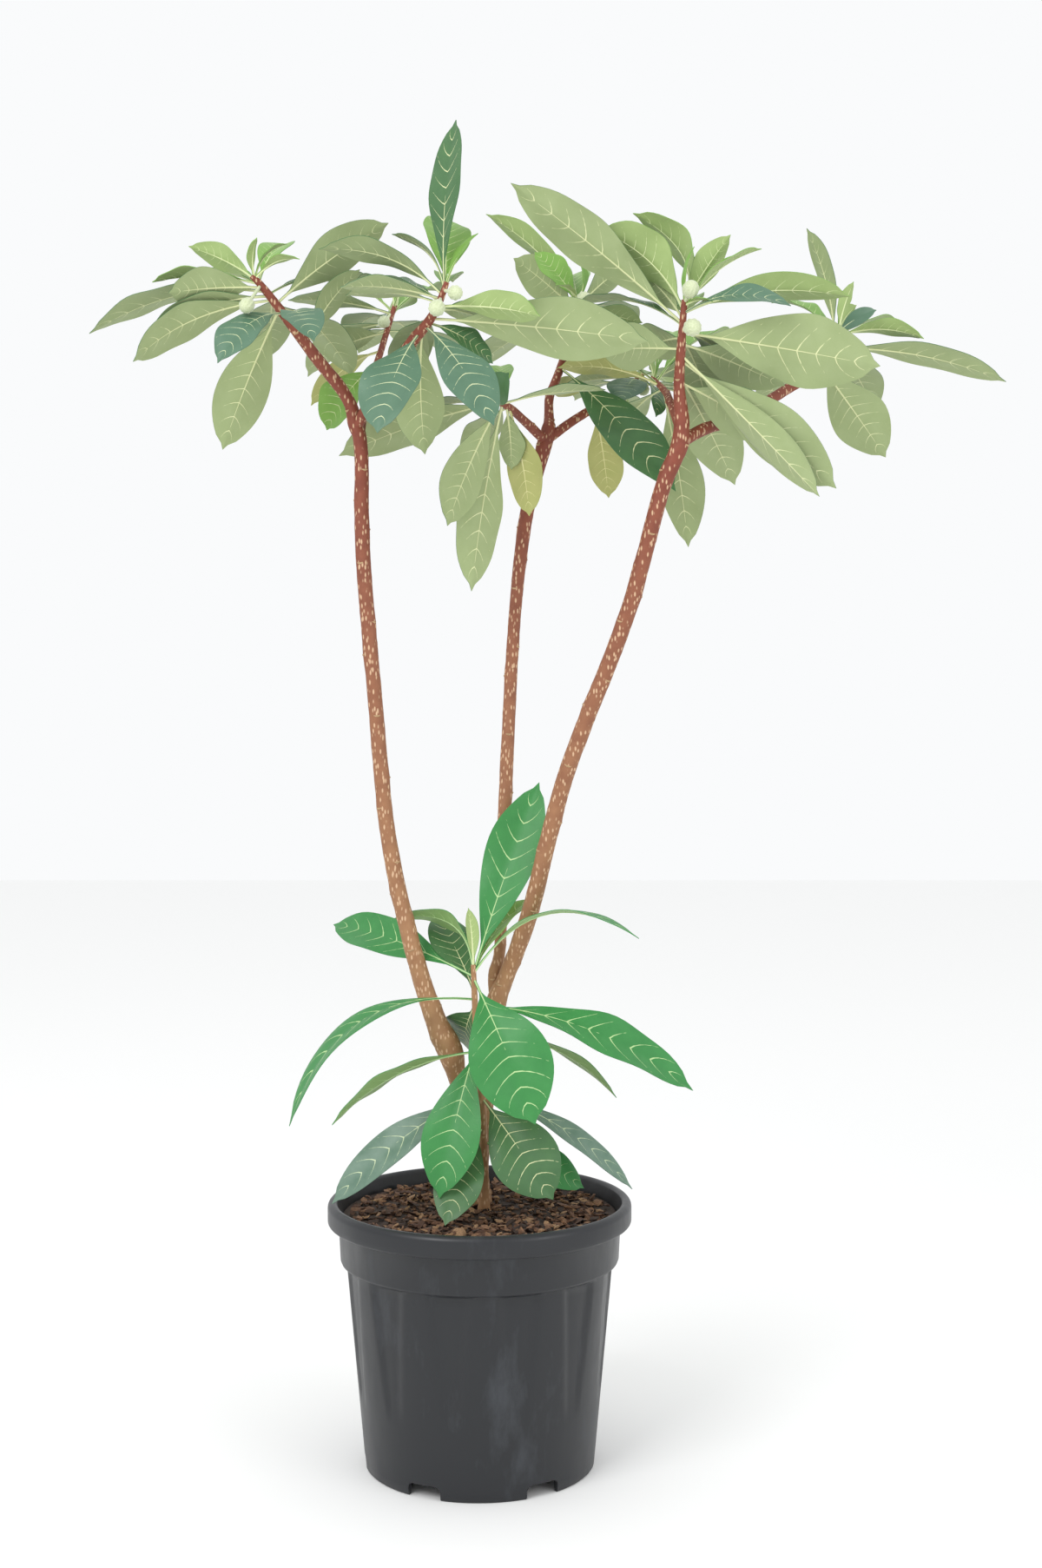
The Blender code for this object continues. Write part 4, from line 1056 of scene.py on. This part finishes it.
def leaf_trees(foot, leaf):
    """Search trees of a coarse leaf: beyond its stalk, and in all."""
    length = reach_of(leaf).length * CM
    thickness = max(COARSE_THICKNESS, COARSE_THICKNESS_SHARE * length) + 2 * LEAF_ROOM
    stalk = min(COARSE_STALK, COARSE_STALK_SHARE * length) + LEAF_ROOM
    fold = FOLDS.get(leaf.kind, PLAIN_FOLD)
    rings = []
    for share in LEAF_CUTS:
        centre, across, rise = leaf_section(foot, leaf, share)
        half = half_width(share, leaf, stalk)
        edge = across * half * math.cos(fold)
        lift = rise * half * math.sin(fold)
        middle = rise * thickness / 2
        rings.append((centre - edge + lift, centre + middle, centre + edge + lift, centre - middle))
    tip = foot + reach_of(leaf) * CM
    return coarse_tree(rings[1:], tip), coarse_tree(rings, tip)


def touches(name, blade, whole, other, crossing):
    """Whether a leaf would touch a limb, a bud or another leaf."""
    if other.owner != name:
        return bool(whole.overlap(other.whole))
    if crossing and not other.firm:
        return False
    return bool(blade.overlap(other.blade))


def settled(name, foot, leaf, taken, may_cross):
    """The leaf, shifted back or forth until it has room, or None."""
    for crossing in (False, True)[:1 + may_cross]:
        for shift in SHIFTS:
            tried = leaf._replace(back=leaf.back + shift)
            blade, whole = leaf_trees(foot, tried)
            if not any(touches(name, blade, whole, other, crossing) for other in taken):
                taken.append(Taken(name, blade, whole, False))
                return tried
    return None


def back_leaves(name, stations, taken):
    """The leaves of a shoot's hidden side, turned by the golden angle and spread by a seed."""
    count, top_length, bottom_length, seed = BACK_LEAVES[name]
    chance = random.Random(seed)
    heading = chance.uniform(0, 2 * math.pi)
    grown = []
    for _ in range(BACK_TRIES):
        if len(grown) == count:
            break
        heading = (heading + GOLDEN_ANGLE) % (2 * math.pi)
        share = (len(grown) + 0.5) / count
        length = top_length + (bottom_length - top_length) * share
        length *= chance.uniform(0.85, 1.1)
        rise = BACK_RISE - BACK_DROOP * share + chance.uniform(-BACK_UNEVENNESS, BACK_UNEVENNESS)
        rise = math.radians(rise)
        if abs(heading - math.pi / 2) > BACK_SPREAD:
            continue
        flat = length * math.cos(rise)
        below = 0.6 + 3.4 * share
        reach = (flat * math.cos(heading), flat * math.sin(heading), length * math.sin(rise))
        kind = "mature" if share > YOUNG_SHARE else "fresh"
        leaf = Leaf(below, *reach, BACK_WIDTH * length, None, BACK_ARCH, kind)
        foot = point_below(stations, leaf.below * CM)
        placed = settled(name, foot, leaf, taken, False)
        if placed:
            grown.append((foot, placed))
    return grown


def bud_trees(foot, bud):
    """Search trees of a bud and its stalk, from the shapes that the CAD gives them."""
    _, right, back, up, width = bud
    reach = Vector((right, back, up)) * CM
    ball = bmesh.new()
    place = Matrix.Translation(foot + reach) @ Matrix.Diagonal((1, 1, COARSE_BUD_LENGTH, 1))
    bmesh.ops.create_icosphere(ball, subdivisions=2, radius=width * MM / 2, matrix=place)
    ball_tree = BVHTree.FromBMesh(ball)
    ball.free()
    along = reach.normalized()
    side = along.orthogonal().normalized()
    ends = [Station(foot + reach * share, along, side, COARSE_BUD_STALK) for share in (0, 1)]
    return ball_tree, coarse_tree([station_ring(end, 5) for end in ends])


def place_leaves():
    """Every leaf of every shoot as its foot and its row, by the CAD's own rule."""
    twigs = {}
    taken = []
    for node in ("pot", "bark_mulch"):
        body = bmesh.new()
        body.from_mesh(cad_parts[node].data)
        solid = BVHTree.FromBMesh(body)
        body.free()
        taken.append(Taken(node, solid, solid, True))
    for name, line in LINES.items():
        stations, places = stations_of(line, TWIG_STEP if name == "young" else LIMB_STEP)
        limb = coarse_tree([station_ring(station, 8, LEAF_ROOM) for station in stations])
        taken.append(Taken(name, limb, limb, True))
        twigs[name] = stations[places[max(line.ends.values())]:]
        start = twigs[name][0]
        twigs[name][0] = start._replace(centre=start.centre + start.along * GAP)
    for name in LINES:
        for bud in BUDS.get(name, ()):
            for solid in bud_trees(point_below(twigs[name], bud[0] * CM), bud):
                taken.append(Taken(name, solid, solid, True))
    placed_leaves = {}
    for name, run in twigs.items():
        grown = []
        for row in LEAVES[name]:
            leaf = Leaf(*row)
            foot = point_below(run, leaf.below * CM)
            placed = settled(name, foot, leaf, taken, True)
            if placed:
                grown.append((foot, placed))
        placed_leaves[name] = grown + back_leaves(name, run, taken)
    return placed_leaves, twigs


placed_leaves, twigs = place_leaves()
print("Leaves:", {name: len(grown) for name, grown in placed_leaves.items()})

# %% [markdown]
# ## Leaf colours
#
# A paperbush leaf is soft and thin, with a satin upper side and a paler, greyer underside. Old leaves on
# the crown are deep green, some with a blue bloom, young ones are yellow green, and the shoot from the
# base is vivid. The colour goes with the leaf, so each kind has its own plain pair of materials, with a
# slight mottle and a fine puckering between the veins.


# %% Leaf materials
def leaf_skin(name, codes, roughness, sheen=0.0):
    """A leaf's side: two near colours mottled at a centimetre's scale, over a fine puckering."""
    made, tree, shader = start_material(name, Roughness=roughness, Sheen_Weight=sheen, IOR=1.42)
    place = add_node(tree, "TexCoord").outputs["Object"]
    tones = [colour(code) for code in codes]
    _, skin = mottle(tree, place, 14 * MM, tones, Detail=3.0)
    pucker = add_node(tree, "TexNoise", {"Vector": place, "Scale": 1 / (3 * MM)}).outputs["Fac"]
    dress(tree, shader, skin, pucker, 0.25, 0.5 * MM)
    return made


# Upper side, underside and rib of each kind, each as two near colours.
LEAF_COLOURS = {
    "mature": (("#3f6440", "#4f7848"), ("#8f9f6c", "#9dab7c"), ("#c9cf9a", "#d6daab")),
    "folded": (("#3f6440", "#4f7848"), ("#8f9f6c", "#9dab7c"), ("#c9cf9a", "#d6daab")),
    "bloomed": (("#4d6f58", "#5f8068"), ("#8f9f6c", "#9dab7c"), ("#c3cda0", "#d0d8ae")),
    "fresh": (("#6f9b45", "#82ac52"), ("#93a968", "#a3b878"), ("#cdd8a0", "#dae2b0")),
    "turning": (("#8fa04a", "#a3ab58"), ("#a9ae68", "#b9b878"), ("#d9d69a", "#e2dfa9")),
    "vivid": (("#2f7a3c", "#3f8c48"), ("#7da35e", "#8db06c"), ("#a9c98a", "#b8d69a")),
    "speckled": (("#4a6b58", "#7d9484"), ("#8f9f6c", "#9dab7c"), ("#b9c8a0", "#c8d4ae")),
}
leaf_finishes = []
for kind, (upper, under, rib) in LEAF_COLOURS.items():
    leaf_finishes.append(leaf_skin("satin_leaf_upper_" + kind, upper, 0.42))
    leaf_finishes.append(leaf_skin("downy_leaf_underside_" + kind, under, 0.6, 0.15))
    leaf_finishes.append(leaf_skin("leaf_rib_" + kind, rib, 0.5))
print("Leaf materials:", len(leaf_finishes))

# %% [markdown]
# ## One leaf, modelled flat
#
# All leaves share one pattern: a blade, and eight pairs of side veins that sweep forward and fade before
# the edge. So a single leaf is modelled flat in its own measure, where x runs from foot to tip, y is -1 and
# 1 at the edges, and z is height in millimetres. Its plate is a grid and its copy, bridged at the rim, and
# each vein is a grid rolled into a low ribbon. Every real leaf is this one, bent to its place.

# %% Model the flat leaf
BLADE_ROWS = 26
BLADE_COLUMNS = 8
BLADE_THICKNESS = 0.7
VEIN_PAIRS = 8
VEIN_POINTS = 6
VEIN_WIDTH = 0.011
VEIN_HEIGHT = 0.3
VEIN_SINK = 0.1
VEIN_REACH = 0.88
VEIN_SWEEP = 0.115
VEIN_SWEEP_POWER = 1.35
VEIN_TAPER = 0.8
FIRST_VEIN = STALK_SHARE + 0.07
VEIN_STRETCH = 0.68

# A kind's upper side comes first among its materials, and these after it.
UNDERSIDE = 1
RIB = 2


def flat_blade():
    """The blade as a thin closed plate whose faces know their side."""
    bm = bmesh.new()
    bmesh.ops.create_grid(bm, x_segments=BLADE_ROWS, y_segments=BLADE_COLUMNS, size=0.5)
    for vert in bm.verts:
        vert.co = Vector((vert.co.x + 0.5, 2 * vert.co.y, BLADE_THICKNESS / 2))
    upper = list(bm.verts) + list(bm.edges) + list(bm.faces)
    copied = bmesh.ops.duplicate(bm, geom=upper)["geom"]
    under = [item for item in copied if isinstance(item, bmesh.types.BMFace)]
    for vert in {vert for face in under for vert in face.verts}:
        vert.co.z = -BLADE_THICKNESS / 2
    for face in under:
        face.material_index = UNDERSIDE
    bmesh.ops.reverse_faces(bm, faces=under)
    rims = [edge for edge in bm.edges if edge.is_boundary]
    bmesh.ops.bridge_loops(bm, edges=rims)
    return bm


def flat_vein(bm, start, side, base, height):
    """A side vein as a low three-sided ribbon that sweeps forward and narrows to its end."""
    made = bmesh.ops.create_grid(bm, x_segments=VEIN_POINTS - 1, y_segments=3, size=0.5)["verts"]
    for vert in made:
        share = vert.co.x + 0.5
        corner = round((vert.co.y + 0.5) * 3) % 3
        middle = start + VEIN_SWEEP * share ** VEIN_SWEEP_POWER
        aside = side * VEIN_REACH * share
        shrink = 1 - VEIN_TAPER * share
        if corner == 2:
            vert.co = Vector((middle, aside, base + height * shrink))
        else:
            vert.co = Vector((middle + (corner - 0.5) * VEIN_WIDTH * shrink, aside, base))
        for face in vert.link_faces:
            face.material_index = RIB
    bmesh.ops.remove_doubles(bm, verts=made, dist=1e-6)


def flat_leaf(with_veins):
    """The flat leaf's mesh, to be copied and bent."""
    bm = flat_blade()
    if with_veins:
        for k in range(VEIN_PAIRS):
            start = FIRST_VEIN + VEIN_STRETCH * k / (VEIN_PAIRS - 1)
            for side in (-1, 1):
                flat_vein(bm, start, side, BLADE_THICKNESS / 2 - VEIN_SINK, VEIN_HEIGHT)
                flat_vein(bm, start, side, VEIN_SINK - BLADE_THICKNESS / 2, -VEIN_HEIGHT)
        open_ends = [edge for edge in bm.edges if edge.is_boundary]
        for face in bmesh.ops.holes_fill(bm, edges=open_ends, sides=4)["faces"]:
            face.material_index = RIB
        bmesh.ops.recalc_face_normals(bm, faces=bm.faces)
    return mesh_from(bm, "flat_leaf")


veined_leaf = flat_leaf(True)
plain_leaf = flat_leaf(False)
print("Faces of a flat leaf:", len(veined_leaf.polygons), "with veins,", len(plain_leaf.polygons), "without")

# %% [markdown]
# ## Bend each leaf to its place
#
# A copy of the flat leaf is added to the shoot's mesh, and its points are moved: x picks the section on
# the arch, y goes across to the outline and up along the V, and z becomes real thickness. No two leaves
# are alike, so each gets its own gentle waves along the edge. A round rib, thick at the stalk and fine at
# the tip, runs just under the blade and shows on both sides, as it does on the real leaf.

# %% Bend the leaves
VEINED_LENGTH = 6 * CM
STALK_RADIUS = 1.3 * MM
STALK_RADIUS_SHARE = 0.05
EDGE_WAVE = (0.04, 0.11)
WAVE_COUNT = (1.6, 3.2)
EDGE_CURL = (0.02, 0.12)
TIP_CLOSES = 14
RIB_ROWS = 16
RIB_SIDES = 6
RIB_END = 0.985
RIB_TIP_SHARE = 0.16
RIB_TAPER = 1.3
RIB_SINK = 0.25


def smooth_skin(row, turn, outwards):
    """No relief, for rolled_tube."""
    return 1.0


def bend_leaf(foot, leaf, chance):
    """One leaf, bent to its place, as a bmesh of its own."""
    length = reach_of(leaf).length * CM
    stalk = min(STALK_RADIUS, STALK_RADIUS_SHARE * length)
    fold = FOLDS.get(leaf.kind, PLAIN_FOLD)
    wave = chance.uniform(*EDGE_WAVE)
    waves = chance.uniform(*WAVE_COUNT)
    phase = chance.uniform(0, 2 * math.pi)
    curl = chance.uniform(*EDGE_CURL)
    first_finish = 3 * list(LEAF_COLOURS).index(leaf.kind)
    bm = bmesh.new()
    bm.from_mesh(veined_leaf if length > VEINED_LENGTH else plain_leaf)
    for vert in bm.verts:
        share, aside, height = vert.co
        share = min(1.0, share)
        centre, across, rise = leaf_section(foot, leaf, share)
        half = half_width(share, leaf, stalk) * min(1.0, (1.004 - share) * TIP_CLOSES)
        lift = half * abs(aside) * math.tan(fold)
        lift += half * wave * aside * abs(aside) * math.sin(2 * math.pi * waves * share + phase)
        lift -= half * curl * abs(aside) ** 3
        height = lift * math.cos(fold) + height * MM
        vert.co = centre + across * half * aside * math.cos(fold) + rise * height
    for face in bm.faces:
        face.material_index += first_finish
    sections = [leaf_section(foot, leaf, RIB_END * k / (RIB_ROWS - 1)) for k in range(RIB_ROWS)]
    rib = []
    for k, (centre, across, rise) in enumerate(sections):
        before = sections[max(0, k - 1)][0]
        after = sections[min(RIB_ROWS - 1, k + 1)][0]
        taper = (1 - k / (RIB_ROWS - 1)) ** RIB_TAPER
        radius = stalk * (RIB_TIP_SHARE + (1 - RIB_TIP_SHARE) * taper)
        rib.append(Station(centre - rise * radius * RIB_SINK, (after - before).normalized(), across, radius))
    rolled_tube(bm, rib, RIB_SIDES, smooth_skin, first_finish + RIB)
    return bm


LEAF_SEED = 31
leaf_chance = random.Random(LEAF_SEED)
for name, grown in placed_leaves.items():
    shoot_bm = bmesh.new()
    for foot, leaf in grown:
        leaf_mesh = mesh_from(bend_leaf(foot, leaf, leaf_chance), "leaf")
        shoot_bm.from_mesh(leaf_mesh)
        bpy.data.meshes.remove(leaf_mesh)
    finish_piece("foliage_" + name, shoot_bm, leaf_finishes, ["leaves_" + name], sharp=50.0)

# %% [markdown]
# ## Flower buds
#
# In autumn the tips already carry next spring's flowers: nodding round heads of silky, ribbed buds on
# short stalks. A sphere with its surface drawn in between eleven ribs gives the head, and a rolled tube
# the stalk. The silk is a pale green with a strong sheen.

# %% Buds
BUD_RIBS = 11
BUD_GROOVES = 0.13
BUD_LENGTH = 1.1
BUD_STALK = 1.6 * MM

bud_finish, tree, shader = start_material("silky_bud_hair", Roughness=0.55, Sheen_Weight=0.5)
place = add_node(tree, "TexCoord").outputs["Object"]
dress(tree, shader, mottle(tree, place, 1.2 * MM, (colour("#a9b77f"), colour("#dfe5c8")))[1])


def add_bud(bm, foot, reach, radius):
    """A ribbed head at the end of its stalk."""
    along = reach.normalized()
    place = Matrix.Translation(foot + reach) @ along.to_track_quat("Z", "Y").to_matrix().to_4x4()
    ball = bmesh.ops.create_uvsphere(bm, u_segments=4 * BUD_RIBS, v_segments=16, radius=radius)["verts"]
    for vert in ball:
        turn = math.atan2(vert.co.y, vert.co.x)
        waist = 1 - (vert.co.z / radius) ** 2
        shrink = 1 - BUD_GROOVES * waist * (0.5 + 0.5 * math.cos(BUD_RIBS * turn))
        vert.co = place @ Vector((vert.co.x * shrink, vert.co.y * shrink, vert.co.z * BUD_LENGTH))
    side = along.orthogonal().normalized()
    stalk = [Station(foot + reach * share, along, side, BUD_STALK) for share in (0, 0.5, 0.9)]
    rolled_tube(bm, stalk, 8, smooth_skin)


bud_bm = bmesh.new()
for name, rows in BUDS.items():
    for below, right, back, up, width in rows:
        add_bud(bud_bm, point_below(twigs[name], below * CM), Vector((right, back, up)) * CM, width * MM / 2)
finish_piece("silky_buds", bud_bm, [bud_finish], sharp=60.0)
